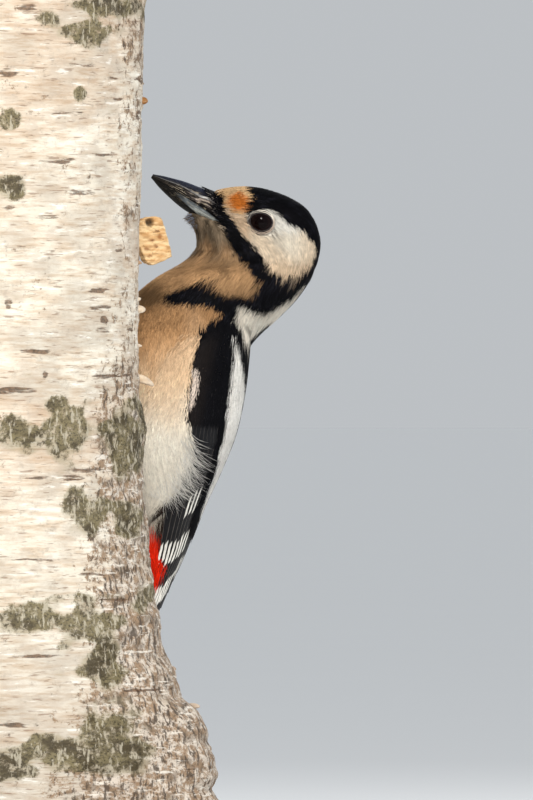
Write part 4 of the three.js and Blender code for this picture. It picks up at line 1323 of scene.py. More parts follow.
# ---------------------------------------------------------------- bill
BILL = Table([
    # ahead, ridge, meeting line, keel, half width
    [12, 1.6, -6.5, -8.6, 10.3],
    [14, 1.4, -6.4, -8.7, 9.6],
    [16, 1.0, -6.1, -8.9, 8.7],
    [18, 0.6, -5.8, -9.1, 7.5],
    [20, 0.2, -5.6, -9.3, 6.2],
    [22, -0.05, -5.5, -9.4, 5.0],
    [24, -0.35, -5.45, -9.4, 4.2],
    [26, -0.65, -5.35, -9.2, 3.7],
    [28, -1.0, -5.25, -8.9, 3.3],
    [30, -1.45, -5.2, -8.5, 2.9],
    [32, -2.0, -5.25, -8.05, 2.5],
    [34, -2.6, -5.3, -7.55, 2.05],
    [36, -3.2, -5.35, -6.95, 1.6],
    [38, -3.95, -5.3, -6.2, 1.15],
    [39.2, -4.4, -5.25, -5.8, 0.75],
])
# How many degrees below the meeting line the lower half's pale band reaches, by how far ahead it is. The band
# is partly the horn's own paler colour and partly a painted highlight.
BAND_EDGE = np.array([
    (12, 76), (17.3, 66), (19.3, 54), (20.8, 39), (24.8, 26), (28.7, 18), (33, 10), (40, 5),
])
# The dark line between the halves is partly painted shade, on their rims and inner faces.
BILL_SLIT = 0.06  # half the dark line between the bill's halves
BILL_ROWS, BILL_COLUMNS = 90, 49


def ridge_line(ahead):
    """How many degrees up the upper half's side its ridge, with the painted highlight along it, runs."""
    return 31 + 7 * smooth(20, 30, ahead)


def bill_colours(ahead, angle, upper):
    """Slate horn. The upper half has a painted highlight along its ridge with painted shade under it, a
    painted sky reflection on its top and a pinkish streaked side; the lower half has a pale band, partly
    painted highlight; painted shade darkens both along the meeting line.
    """
    rise = np.where(angle > 90, 180 - angle, angle)
    streak = noise_over(ahead * 0.22, rise * 0.22, 0, seed=3)
    thread = noise_over(ahead * 0.35, rise * 0.6, 0, seed=6)
    fleck = noise_over(ahead * 0.9, rise * 0.4, 0, seed=8)
    base, tip = smooth(29, 19, ahead), smooth(33, 39, ahead)
    if upper:
        line = ridge_line(ahead)
        # Above the ridge the horn is slate; its blue tint and the lighter culmen are a painted reflection of
        # the sky.
        colour = blend_colours(smooth(line - 2, line + 5, rise), linear(27, 23, 20), linear(30, 33, 46))
        colour = blend_colours(smooth(60, 88, rise) * 0.6, colour, linear(60, 68, 90))
        pink = smooth(5, 10, rise) * smooth(line - 3, line - 7, rise)
        pink = pink * smooth(-0.25, 0.3, thread + 0.6 * base - 0.3)
        # Painted highlight along the ridge, and painted shade just under it.
        ridge = hump(rise - line, 0, 1.6 + 1.6 * base) * (0.3 + 0.65 * smooth(25, 20.5, ahead))
        under = hump(rise - line, -6, 1.8) * 0.85
        colour = overlaid(
            colour,
            (pink * (0.04 + 0.8 * base), linear(206, 190, 180)),
            (np.clip(ridge, 0, 1), linear(236, 236, 236)),
            (under, linear(18, 16, 14)),
        )
    else:
        edge = np.interp(ahead, *BAND_EDGE.T)
        colour = blend_colours(smooth(edge, 80, rise), linear(14, 13, 12), linear(34, 32, 25))
        # The pale band: partly the lower half's paler horn, partly a painted highlight.
        band = smooth(1, 5, rise) * smooth(edge + 2.5, edge - 2.5, rise) * smooth(30, 24, ahead)
        pale = smooth(26, 17, ahead) * smooth(4, 26, rise)
        light = blend_colours(pale, linear(104, 112, 118), linear(204, 212, 210))
        colour = blend_colours(band * (1 - 0.25 * smooth(0.0, 0.8, thread)), colour, light)
    colour = blend_colours(tip * 0.35, colour, linear(44, 42, 38))
    colour = colour * (1 + 0.3 * streak + 0.25 * fleck)[..., None]
    # Painted shade along the meeting line of the halves.
    return np.clip(blend_colours(smooth(4.5, 1.0, rise), colour, linear(12, 11, 12)), 0, 1)


def bill_fullness(ahead):
    """The power that shapes the upper half's section: full at the base, roofed farther out."""
    return 1.25 - 0.45 * smooth(25, 18, ahead)


def build_bill(upper):
    """Points, faces, colours and fibre places of one half of the bill."""
    place, angle = paired(np.linspace(0, BILL.end, BILL_ROWS), np.linspace(0, 180, BILL_COLUMNS))
    ahead, ridge, meeting, keel, half = np.moveaxis(BILL(place), -1, 0)
    turn = np.radians(angle)
    rim = meeting + BILL_SLIT * (1 if upper else -1)
    height = (ridge if upper else keel) - rim
    side_view = np.where(angle > 90, 180 - angle, angle)
    fade = smooth(38, 24, ahead)
    ridge_bump = 0.34 * hump(side_view, 40, 9) - 0.26 * hump(side_view, 62, 12)
    groove = -0.3 * hump(side_view, 22, 9) * smooth(30, 20, ahead)
    swell = (ridge_bump + groove) * fade if upper else 0.2 * hump(side_view, 30, 10) * fade
    across = (half + swell) * np.cos(turn)
    rise = height * np.sin(turn) ** (bill_fullness(ahead) if upper else 0.9)
    rings = in_head(ahead, rim + rise + swell * 0.4 * np.sin(turn) * np.sign(height), across)
    inner = np.linspace(1, -1, 12)[1:-1][None, :] * half[:, -1:] * -1
    middle = rim[:, :1] + (0.3 if upper else 0.22) * (1 - (inner / half[:, :1]) ** 2)
    floor = in_head(ahead[:, :1] + 0 * inner, middle, inner)
    points, faces = closed_loft(np.concatenate([rings, floor], 1))
    # The flat inner faces are painted dark as the shade inside the slit between the halves.
    dark = np.broadcast_to(linear(40, 38, 38), (*inner.shape, 3))
    colours = np.concatenate([bill_colours(ahead, angle, upper), dark], 1)
    # split: how cracked the horn is, which also sets where painted highlight streaks lie.
    split = (0.9 if upper else 0.35) * smooth(36, 28, ahead) * smooth(52, 40, side_view)
    if upper:
        split = split * (1 - 0.85 * hump(side_view, ridge_line(ahead), 3.5))
    fibres = np.stack([ahead, side_view * 0.1 + (0 if upper else 20), split], -1)
    fibres = np.concatenate([fibres, np.zeros((*inner.shape, 3))], 1)
    return points, inside_out(faces) if upper else faces, np.clip(capped(colours), 0, 1), capped(fibres)


def bill_material():
    """Streaked horn with painted highlight streaks. Fibre holds how far ahead a place is, tens of degrees
    round and how cracked it is, which also sets how many painted highlight streaks it has.
    """
    paint = Painter("horn")
    colour = paint.coat()
    fibre = paint.carried("Fibre")
    split = paint.parts(fibre)[2]
    lengthways, broad = (paint.scaled(fibre, scale) for scale in ((0.36, 1.7, 0.0), (0.6, 0.8, 0.0)))
    strand = paint.noise(lengthways, detail=4, roughness=0.6, distortion=0.5)
    mottle = paint.noise(broad, detail=4, roughness=0.6)
    fine = paint.grain(2600, detail=2)
    colour = paint.layer(colour, mottle, 0.4, 0.7, 0.45, linear(24, 21, 18))
    crack = paint.times(paint.between(strand, 0.48, 0.56), split)
    colour = paint.mix(crack, colour, linear(14, 12, 12))
    # glint: painted highlight streaks along the horn's fibres.
    glint = paint.times(paint.between(strand, 0.45, 0.38, 0.0, 0.75), split)
    colour = paint.mix(glint, colour, linear(176, 164, 144))
    bump = paint.bump(paint.add(strand, paint.times(fine, 0.2)), 0.00045, 0.7)
    return paint.finish(colour, paint.between(strand, 0.3, 0.7, 0.36, 0.55), bump, Specular_IOR_Level=0.07)


def build_bill_halves():
    material = bill_material()
    for node, upper in (("bill_upper", True), ("bill_lower", False)):
        points, faces, colours, fibres = build_bill(upper)
        new_piece(f"{node}_horn", points, faces, material, "horn", [node],
                  colours=colours, attributes={"Fibre": fibres})


# ---------------------------------------------------------------- bristles and loose plumes
def grow_hairs(name, slot, material, path, breadth, colours):
    """Long thin closed spindles. path has a row of points from root to tip for each hair."""
    count, stages = path.shape[:2]
    lie = unit(path[:, -1] - path[:, 0])
    side = unit(np.cross(lie, CAMERA_SIDE) + 1e-6)
    up = np.cross(side, lie)
    share = np.linspace(0, 1, stages)[1:-1]
    rings = []
    for k, thick in enumerate(np.sin(math.pi * (0.25 + 0.7 * share)), start=1):
        for turn in np.radians((90, 210, 330)):
            offset = side * math.cos(turn) + up * math.sin(turn)
            rings.append(path[:, k] + offset * (breadth / 2 * thick))
    points = np.stack([path[:, 0], *rings, path[:, -1]], 1)
    each = points.shape[1]
    faces = []
    for k, j in ((0, 1), (1, 2), (2, 0)):
        faces += [(0, 1 + j, 1 + k), (each - 4 + k, each - 4 + j, each - 1)]
        for a in range(1, each - 4, 3):
            faces += [(a + k, a + j, a + 3 + j), (a + k, a + 3 + j, a + 3 + k)]
    index = (np.array(faces)[None] + each * np.arange(count)[:, None, None]).reshape(-1, 3)
    # Painted shade: each hair is darkened towards its root and lighter towards its tip.
    shade = np.concatenate([[0.6], np.repeat(np.linspace(0.85, 1.05, stages - 2), 3), [1.05]])
    painted = np.clip(colours[:, None, :] * shade[:, None], 0, 1)
    columns = math.ceil(math.sqrt(count))
    cell = np.stack([np.arange(count) % columns, np.arange(count) // columns], -1) / columns
    middle = [((k % 3) / 2, 0.1 + 0.8 * (k // 3) / stages) for k in range(each - 2)]
    uv = cell[:, None, :] + (0.1 + 0.8 * np.array([(0.5, 0), *middle, (0.5, 1)])) / columns
    new_piece(name, points, index, material, slot, colours=painted, uv=uv)


def bent_path(roots, bends, tips, stages=5):
    t = np.linspace(0, 1, stages)[None, :, None]
    return (1 - t) ** 2 * roots[:, None] + 2 * t * (1 - t) * bends[:, None] + t**2 * tips[:, None]


def bill_side(ahead, turn, off):
    """Place off the upper bill's surface, by how far ahead it is and the degrees round from its left edge."""
    row = BILL(np.interp(ahead, BILL.rows[:, 0], np.arange(len(BILL.rows)) - 3.0))
    turn = np.radians(np.clip(turn, 0, 180))
    rise = (row[..., 1] - row[..., 2] + off) * np.sin(turn) ** bill_fullness(ahead)
    return in_head(ahead, row[..., 2] + rise, (row[..., 4] + off) * np.cos(turn))


NASAL_BRISTLES, CHIN_BRISTLES, FLANK_HAIRS = 1000, 620, 300


def build_face_bristles(material):
    """Black bristles that lie forward over the bill's base, and stiff grey hairs under the chin."""
    rng = dice("bristles")
    count = NASAL_BRISTLES
    turn = rng.uniform(4, 176, count)
    top = np.sin(np.radians(turn))
    run = rng.uniform(2.2, 4.6, count) * (0.75 + 0.3 * top)
    start = 15.2 + 6.6 * top**1.3 - run + rng.normal(0, 0.7, count)
    swing = rng.normal(0, 5, count)
    roots = bill_side(start, turn, -0.1)
    bends = bill_side(start + 0.5 * run, turn + 0.5 * swing, 0.75)
    tips = bill_side(start + run, np.clip(turn + swing, 2, 178), 0.3 + 0.3 * rng.random(count))
    colours = BLACK * rng.uniform(0.8, 3.2, (count, 1))
    pale = (rng.random(count) < 0.22 * (top < 0.8))[:, None]
    colours = np.where(pale, linear(150, 144, 140), colours)
    grow_hairs("bristles_nasal", "crown_feathers", material, bent_path(roots, bends, tips), 0.2, colours)

    count = CHIN_BRISTLES
    left = rng.uniform(-4.8, 4.8, count)
    ahead = rng.uniform(12, 21.5, count)
    up = -10.6 - 0.28 * (21 - ahead) + 0.05 * left**2
    roots = in_head(ahead, up + 0.4, left)
    run = rng.uniform(1.5, 3.4, count)
    droop = rng.uniform(0.3, 1.0, count)
    bends = in_head(ahead + 0.35 * run, up - 0.45 * run * droop, left * 1.05)
    tips = in_head(ahead + 0.6 * run, up - 0.8 * run * droop, left * 1.1 + rng.normal(0, 0.5, count))
    tone = rng.uniform(0.6, 1.2, (count, 1))
    grey = (rng.random(count) < 0.65)[:, None]
    colours = np.where(grey, linear(150, 158, 176), linear(140, 116, 84)) * tone
    grow_hairs("bristles_chin", "buff_feathers", material, bent_path(roots, bends, tips), 0.13, colours)


# Heights and the share across the wing up to which flank feathers cover it.
FLANK_REACH = np.array([
    (148, -0.36), (153, -0.29), (156.5, -0.21), (160.5, -0.13), (164, -0.05), (167.5, 0.02), (171, 0.08),
    (174.5, 0.115), (178, 0.105), (182, 0.065), (185, 0.03), (190, 0.0), (195, -0.02), (205, -0.065),
    (214, -0.1),
])


FLANK_SPACING, THIGH_SPACING = 0.95, 1.15
FLANK_LOWER, THIGH_LOWER = 20, 8  # pixels by which the colours of loose feathers are taken lower


def loose_colours(point, lower):
    """The underparts' colours for loose feathers, taken some pixels lower in the photograph than they lie."""
    places = seen(to_model(point)) + (0, lower)
    shaded = inside(places, WING_SHADE_OUTLINE)[:, None]
    return np.where(shaded, WING_SHADE, underparts(point, places[:, 1]))


def build_flank_plumes(name, material):
    """Loose white flank feathers and long hairs that lie out over the folded wing's lower edge."""
    surface = WINGS[name]
    rng = dice("flank " + name)

    def density(u, v, point):
        z = point[..., 2]
        within = (v < np.interp(z, *FLANK_REACH.T)) * smooth(214, 206, z) * smooth(147, 151, z)
        return within / FLANK_SPACING**2

    u, v = spread(surface, (0.8, 7.6), (-0.3, 0.19), density)
    point = surface.point(u, v)
    z = point[..., 2]
    loose = smooth(190, 168, z)
    length = (6.5 + 2.5 * loose) * (0.55 + 0.45 * smooth(150, 160, z))
    coat = Coat(length, 3.0, 1.2, 0.3 + 0.3 * loose, sway=0.1, above=0.45 + 0.5 * loose, lean=0.22 * loose,
                barbs=11, breadth=0.18)
    point[..., 1] = -np.abs(point[..., 1])
    colours = np.clip(loose_colours(point, FLANK_LOWER) * rng.uniform(0.9, 1.05, (len(u), 1)), 0, 1)
    grow_tufts(f"coat_flank_{name}", "white_feathers", material, surface, u, v, coat, colours)

    count = FLANK_HAIRS
    z0 = 158 + 22 * rng.beta(1.5, 1.4, count)
    start = np.interp(z0, *FLANK_REACH.T) - 0.1 * rng.beta(1.0, 1.6, count)
    run = rng.uniform(8, 19, count) * smooth(153, 167, z0)
    spill = rng.beta(1.5, 1.3, count)
    stages = 7
    t = np.linspace(0, 1, stages)[None, :]
    drop = run[:, None] * (t - (0.45 * spill[:, None]) * t**2)
    out = run[:, None] * (0.1 * t + 0.85 * spill[:, None] * t**1.8)
    heights = z0[:, None] - drop
    station = wing_station(heights)
    _, _, across, _ = surface.frame(station, start[:, None] + 0 * t)
    share = start[:, None] + out / length_of(across) + rng.normal(0, 0.03, (count, 1)) * t
    point, _, _, normal = surface.frame(station, share)
    stand = -1.0 + 1.9 * smooth(0, 0.3, t) + (rng.uniform(-0.3, 1.0, (count, 1))) * t**2
    path = point + normal * stand[..., None]
    tone = rng.uniform(0.72, 1.0, (count, 1))
    grow_hairs(f"plumes_{name}", "white_feathers", material, path, 0.15, WHITE * tone)


# ---------------------------------------------------------------- legs
FLARE_AZIMUTH, FLARE_SPREAD = -12, 20
# How far the flared foot of the trunk stands out of the round at each height.
FLARE = np.array([
    (50, 27.5), (63, 26), (72, 24.4), (79, 21.6), (85, 18.3), (91, 13.4), (97, 10.6), (104, 7.8), (116, 6),
    (126, 3.8), (140, 1.6), (156, 0),
])


def bark_radius(azimuth, z):
    """Distance of the bark from the trunk's axis, by degrees round it in the model frame and height."""
    oval = 2.8 * np.cos(np.radians(2 * (azimuth + 22.5)))
    knots = 0.7 * np.sin(z / 31 + np.radians(2 * azimuth)) + 0.5 * np.sin(z / 17 - np.radians(3 * azimuth))
    away = np.mod(azimuth - FLARE_AZIMUTH + 180, 360) - 180
    return TRUNK_RADIUS + oval + knots + np.interp(z, *FLARE.T) * np.exp(-0.5 * (away / FLARE_SPREAD) ** 2)


def over_bark(side, z, height):
    """Body-frame point over the bark: side is the arc to the bird's right, height is off the bark."""
    turn = side / TRUNK_RADIUS
    r = bark_radius(BODY_AZIMUTH + math.degrees(turn), z) + height
    return np.array([r * math.cos(turn), r * math.sin(turn), z])


TOES = {
    # turn from straight up, length, radius, claw length
    "inner": (-20, 11.5, 1.2, 7),
    "middle": (26, 15, 1.3, 8),
    "outer": (70, 16, 1.3, 8),
    "hind": (165, 7.5, 1.05, 5.5),
}
FEET = {"left": (-1, 17, 165), "right": (1, 22, 174)}  # side, arc from the body's middle, height
GAP = 0.3
PAD_RADIUS, PAD_HEIGHT = 2.4, 3


def on_sole(foot, turn, distance, height):
    side, arc, z = foot
    turn = math.radians(turn)
    return over_bark(side * (arc + distance * math.sin(turn)), z + distance * math.cos(turn), height)


def heel_of(foot):
    side, arc, z = foot
    return over_bark(side * (arc - 3.5), z - 0.9 * TARSUS_LENGTH, PAD_HEIGHT + 0.4 * TARSUS_LENGTH)


def toe_line(foot, toe):
    turn, length, radius, _ = TOES[toe]
    start = PAD_RADIUS + GAP + 0.5
    at = [start, start + 0.35 * (length - start), start + 0.7 * (length - start), length]
    lift = [PAD_HEIGHT - 0.6, radius + GAP + 0.9, radius + GAP + 0.1, radius + GAP + 0.3]
    return [on_sole(foot, turn, *place) for place in zip(at, lift)]


def claw_line(foot, toe):
    turn, length, radius, claw = TOES[toe]
    start, lift = length + GAP + 0.35, radius + GAP + 0.5
    at = [start - 1.2, start + 0.34 * claw, start + 0.68 * claw, start + 0.86 * claw]
    return [on_sole(foot, turn, *place) for place in zip(at, [lift - 0.1, lift + 0.9, lift + 0.2, 0.75])]


def tarsus_line(foot):
    sole, heel = on_sole(foot, 0, 0, PAD_HEIGHT), heel_of(foot)
    return [sole, (sole + heel) / 2 + np.array([0.8, 0, 0]), heel]


def thigh_line(foot):
    heel = heel_of(foot)
    hip = np.array([107, foot[0] * 13, heel[2] + 25])
    start = heel + 0.12 * (hip - heel)
    knee = heel + 0.55 * (hip - heel) + np.array([0, foot[0] * 2, -1])
    return [start, knee, hip]


def limb_surface(line, radii):
    """A round limb: its place along runs from 0 to 1 and its place round in degrees."""
    path, size = Table(line), Table([[r] for r in radii])

    def point(along, turn):
        centre = path(along * path.end)
        ahead = unit(path(along * path.end + 0.02) - path(along * path.end - 0.02))
        out = unit(np.array([1.0, 0, 0.2]) - ahead * (ahead @ np.array([1.0, 0, 0.2]))[..., None])
        right = np.cross(ahead, out)
        r = size(along * size.end)
        turn = np.radians(turn)[..., None]
        return centre + r * (out * np.cos(turn) + right * np.sin(turn))

    return Surface(point, (0.01, 1.0), -1, -1, unwrap_box((0, 1), (0, 360)))


def limb_rings(line, radii, steps=24, sides=20, ripple=None):
    """Rings of a limb with rounded ends. ripple gives extra radius for places along and round it."""
    surface = limb_surface(line, radii)
    along, turn = paired(np.linspace(0, 1, steps), np.linspace(0, 360, sides, endpoint=False))
    rings = surface.point(along, turn)
    centre = rings.mean(1, keepdims=True)
    grow = 1 if ripple is None else 1 + ripple(along, turn)[..., None]
    end = np.minimum(along[:, :1], 1 - along[:, :1])[..., None]
    dome = np.sqrt(np.clip(end / 0.06, 0.05, 1))
    return centre + (rings - centre) * grow * dome


def scute_ripple(count):
    """Overlapping scutes along a toe's or shank's upper side, and small pads below."""

    def ripple(along, turn):
        saw = np.mod(along * count, 1)
        upper = smooth(-0.2, 0.5, np.cos(np.radians(turn)))
        return upper * (0.02 + 0.10 * saw) + (1 - upper) * 0.06 * np.abs(np.sin(along * count * math.pi))

    return ripple


TARSUS_RADII = [PAD_RADIUS, 1.35, 1.2, 1.3, 1.9]
THIGH_RADII = [2.7, 4.6, 6.8, 8.4, 7.5]


def scale_material():
    paint = Painter("scaly_skin")
    cells = paint.node("TexVoronoi", {"Vector": paint.place(900), "Scale": 1}, feature="DISTANCE_TO_EDGE")
    edge = paint.between(cells.outputs["Distance"], 0.0, 0.12)
    mottle = paint.grain(260)
    colour = paint.mix(mottle, linear(88, 84, 76), linear(128, 124, 110))
    colour = paint.mix(edge, linear(66, 62, 58), colour)
    return paint.finish(colour, 0.6, paint.bump(edge, 0.00012, 0.5), Specular_IOR_Level=0.4)


def claw_material():
    paint = Painter("claw_horn")
    grain = paint.grain((1200, 1200, 400))
    colour = paint.mix(grain, linear(38, 35, 34), linear(86, 80, 74))
    return paint.finish(colour, 0.34, paint.bump(grain, 0.00005, 0.4))


def build_feet():
    scales, horn = scale_material(), claw_material()
    for name, foot in FEET.items():
        rings = [limb_rings(tarsus_line(foot), np.array(TARSUS_RADII) * 1.04, 60, 20, scute_ripple(11))]
        for toe, (_, length, radius, _) in TOES.items():
            radii = radius * np.array([1.0, 1.05, 1.06, 1.0, 0.88])
            rings.append(limb_rings(toe_line(foot, toe), radii, 60, 20, scute_ripple(round(length * 0.8))))
            claw = limb_rings(claw_line(foot, toe), radius * np.array([0.8, 0.75, 0.52, 0.12]), 30, 16)
            points, faces = closed_loft(claw + (claw.mean(1, keepdims=True) - claw) * 0.15)
            new_piece(f"claw_horn_{name}_{toe}", points, faces, horn, "claw", [f"claw_{name}_{toe}"])
        points, faces = join_lofts(rings)
        new_piece(f"scutes_{name}", points, faces, scales, "scaly_skin")


def build_thigh_coats(material):
    for name, foot in FEET.items():
        surface = limb_surface(thigh_line(foot), THIGH_RADII)
        u, v = spread(surface, (0.02, 0.75), (0, 360), lambda u, v, point: 1 / THIGH_SPACING**2 + 0 * u)
        coat = Coat(5.5 - 1.5 * smooth(0.4, 0.0, u), 2.6, 1.0, 0.3, barbs=8, breadth=0.22)
        colours = loose_colours(surface.point(u, v), THIGH_LOWER)
        grow_tufts(f"coat_thigh_{name}", "buff_feathers", material, surface, u, v, coat, colours)


# ---------------------------------------------------------------- skin
SKIN_VOXEL = 0.62
SKIN_ROWS, SKIN_COLUMNS = 150, 120
SKIN_REACH = 5  # how far from the body's form the skin still carries the plumage's colours


def build_skin(material):
    """One closed skin: the body under its coat, the thighs, shanks and toes, meshed anew as one."""
    turn = np.linspace(0, 360, SKIN_COLUMNS, endpoint=False)
    station, angle = paired(np.linspace(0, FACE_END, SKIN_ROWS), turn)
    point, _, _, normal = BODY.frame(station, angle)
    lofts = [point - normal * coat_depth(station, angle)[..., None]]
    for foot in FEET.values():
        lofts.append(limb_rings(thigh_line(foot), np.array(THIGH_RADII) - 1.0, 20, 24))
        lofts.append(limb_rings(tarsus_line(foot), TARSUS_RADII, 20, 16))
        for toe, (_, _, radius, _) in TOES.items():
            line = toe_line(foot, toe)
            line = [on_sole(foot, 0, 0, PAD_HEIGHT), *line[1:]]
            lofts.append(limb_rings(line, radius * np.array([1.2, 1.0, 1.0, 0.95, 0.85]), 20, 12))
    points, faces = join_lofts(lofts)
    piece = new_piece("skin", points, faces, material)
    modifier = piece.modifiers.new("one skin", "REMESH")
    modifier.mode = "VOXEL"
    modifier.voxel_size = SKIN_VOXEL * MM
    modifier.use_smooth_shade = True
    bpy.context.view_layer.update()
    meshed = bpy.data.meshes.new_from_object(piece.evaluated_get(bpy.context.evaluated_depsgraph_get()))
    piece.modifiers.clear()
    piece.data = meshed
    paint_skin(meshed, point.reshape(-1, 3), plumage(station, angle).reshape(-1, 3))
    meshed.materials.clear()
    meshed.materials.append(material)
    legs = [f"{part}_{name}" for part in ("thigh", "tarsus") for name in FEET]
    toes = [f"toe_{name}_{toe}" for name in FEET for toe in TOES]
    return declare(piece, "buff_feathers", "head", "neck", "torso", "vent", *legs, *toes)


def paint_skin(mesh, body_points, body_colours):
    """Gives the skin the plumage's colour at the nearest place of the body, and the legs their own."""
    tree = KDTree(len(body_points))
    for number, point in enumerate(to_model(body_points) * MM):
        tree.insert(point, number)
    tree.balance()
    colours = np.empty((len(mesh.vertices), 3))
    legs = linear(96, 90, 80)
    for number, vertex in enumerate(mesh.vertices):
        _, nearest, distance = tree.find(vertex.co)
        colours[number] = body_colours[nearest] if distance < SKIN_REACH * MM else legs
    mesh.attributes.new("Coat", "FLOAT_COLOR", "POINT").data.foreach_set("color", rgba(colours).ravel())


# ---------------------------------------------------------------- trunk and stand
BARK_ROWS = 420
BARK_INSET = 1.2  # how far the bark ends from the trunk's ends
FOOT_RELIEF = 0.3  # the share of the bark's relief that is kept under the bird's feet and tail
FINE_SIDE = -45  # azimuth in the model frame of the middle of the finely meshed side
# Lichen patches on the photographed side: pixel column, row, half width and half height.
LICHEN_SPOTS = [
    (45, 18, 16, 9), (90, 34, 26, 20), (115, 8, 36, 16), (12, 188, 20, 18), (10, 120, 12, 10),
    (68, 422, 28, 34), (18, 437, 26, 20), (120, 432, 24, 44), (84, 510, 28, 26), (125, 520, 14, 20),
    (30, 615, 46, 20), (88, 624, 36, 28), (103, 662, 24, 24), (60, 752, 46, 24), (112, 742, 48, 30),
    (15, 768, 30, 14), (80, 92, 6, 8), (140, 600, 12, 20),
]
# Dark scars and cracks on the photographed side: pixel column, row, half width and half height.
BARK_SCARS = [
    (26, 8, 12, 3), (82, 65, 18, 3), (10, 72, 12, 5), (110, 79, 9, 3), (118, 100, 7, 3), (64, 114, 20, 3),
    (105, 155, 12, 3), (52, 162, 22, 3.5), (84, 192, 14, 3), (45, 217, 18, 3.5), (46, 252, 10, 3),
    (102, 290, 12, 3), (104, 308, 13, 3.5), (107, 330, 13, 3.5), (104, 320, 4, 5), (9, 305, 5, 7),
    (36, 351, 24, 3), (16, 391, 20, 3.5), (46, 374, 4, 6), (110, 376, 24, 3), (60, 478, 40, 2.6),
    (100, 470, 30, 4), (38, 656, 46, 2.4), (18, 725, 26, 2.4), (154, 690, 22, 2), (117, 674, 9, 9),
    (10, 208, 8, 4), (136, 80, 4, 5), (138, 115, 4, 5), (120, 250, 8, 3), (133, 330, 5, 4), (30, 560, 26, 2),
    (90, 575, 22, 2), (115, 600, 18, 2), (170, 745, 8, 3), (190, 770, 10, 4),
]
# The trunk's right edge in the photograph: pixel row and column.
BARK_EDGE = np.array([
    (0, 145), (15, 144.4), (55, 143), (105, 142.2), (170, 141.5), (205, 140), (260, 138.6), (335, 138.2),
    (370, 138.2), (400, 140.3), (420, 143.5), (432, 145.5), (450, 144.6), (470, 143.1), (500, 144.5),
    (540, 148.5), (580, 152.5), (602, 155.4), (614, 159), (639, 162.8), (653, 162.8), (668, 173), (681, 176),
    (697, 181.8), (709, 198), (731, 208), (741, 208), (756, 215.5), (775, 217), (788, 209.7), (800, 220),
])
TRUNK_COLUMNS_FINE, TRUNK_COLUMNS_COARSE = 250, 90
# Degrees round the trunk between which the bird's feet and tail lie on the bark, and the height up to which.
UNDER_BIRD, UNDER_BIRD_TOP = ((2, 12), (90, 78)), (228, 216)
EDGE_BAND = ((-32, -10), (15, 4))  # degrees between which the bark follows the trunk's edge in the photograph
# Columns and depths between which the marks turn from made-up ones to the photograph's.
SHOWN_COLUMNS, SHOWN_DEPTHS = (-30, 0), (TRUNK_Y + 36, TRUNK_Y + 6)
# Columns and rows of the photograph between which the bark turns rough: by the trunk's edge, which slants out
# below one row, over its lower half and at its foot. The rough, darker band by the edge is partly painted
# shade of the light grazing the trunk there.
EDGE_COLUMNS, EDGE_ROWS, EDGE_SLANTS_ROW = (100, 132), (330, 420), 560
LOWER_COLUMNS, LOWER_ROWS = (60, 125), (375, 425)
FOOT_COLUMNS, FOOT_ROWS = (20, 130), (640, 730)


def trunk_place(azimuth, z, height=0.0):
    """Model-frame point over the bark, by degrees round the trunk in the model frame."""
    r = bark_radius(azimuth, z) + height
    turn = np.radians(azimuth)
    return np.stack([TRUNK_X + r * np.cos(turn), TRUNK_Y + r * np.sin(turn), z + 0 * r], -1)


def spots(places, outlines, wobble):
    """1 in the middle of soft-edged oval spots of the photograph's frame, 0 outside them."""
    total = np.zeros(places.shape[:-1])
    for column, row, half_width, half_height in outlines:
        away = np.hypot((places[..., 0] - column) / half_width, (places[..., 1] - row) / half_height)
        total = np.maximum(total, smooth(1.25, 0.55, away + wobble))
    return total


def near_feet(azimuth, z):
    """1 where the bird's feet and tail lie on the bark."""
    away = np.mod(azimuth + 180, 360) - 180
    first, last = UNDER_BIRD
    return smooth(*first, away) * smooth(*last, away) * smooth(*UNDER_BIRD_TOP, z)


def edge_push(azimuth, z):
    """How far the bark stands out of the round, in mm, to follow the trunk's right edge."""
    sweep = np.linspace(-25, 15, 81)
    rows = np.arange(0, PHOTO_HEIGHT + 1, 4.0)
    wanted, heights = place_at(np.interp(rows, *BARK_EDGE.T), rows, TRUNK_Y)
    round_edge = trunk_place(sweep, heights[:, None])[..., 0].max(1)
    push = np.interp(z, heights[::-1], (wanted - round_edge)[::-1])
    away = np.mod(azimuth + 180, 360) - 180
    first, last = EDGE_BAND
    return push * smooth(*first, away) * smooth(*last, away)


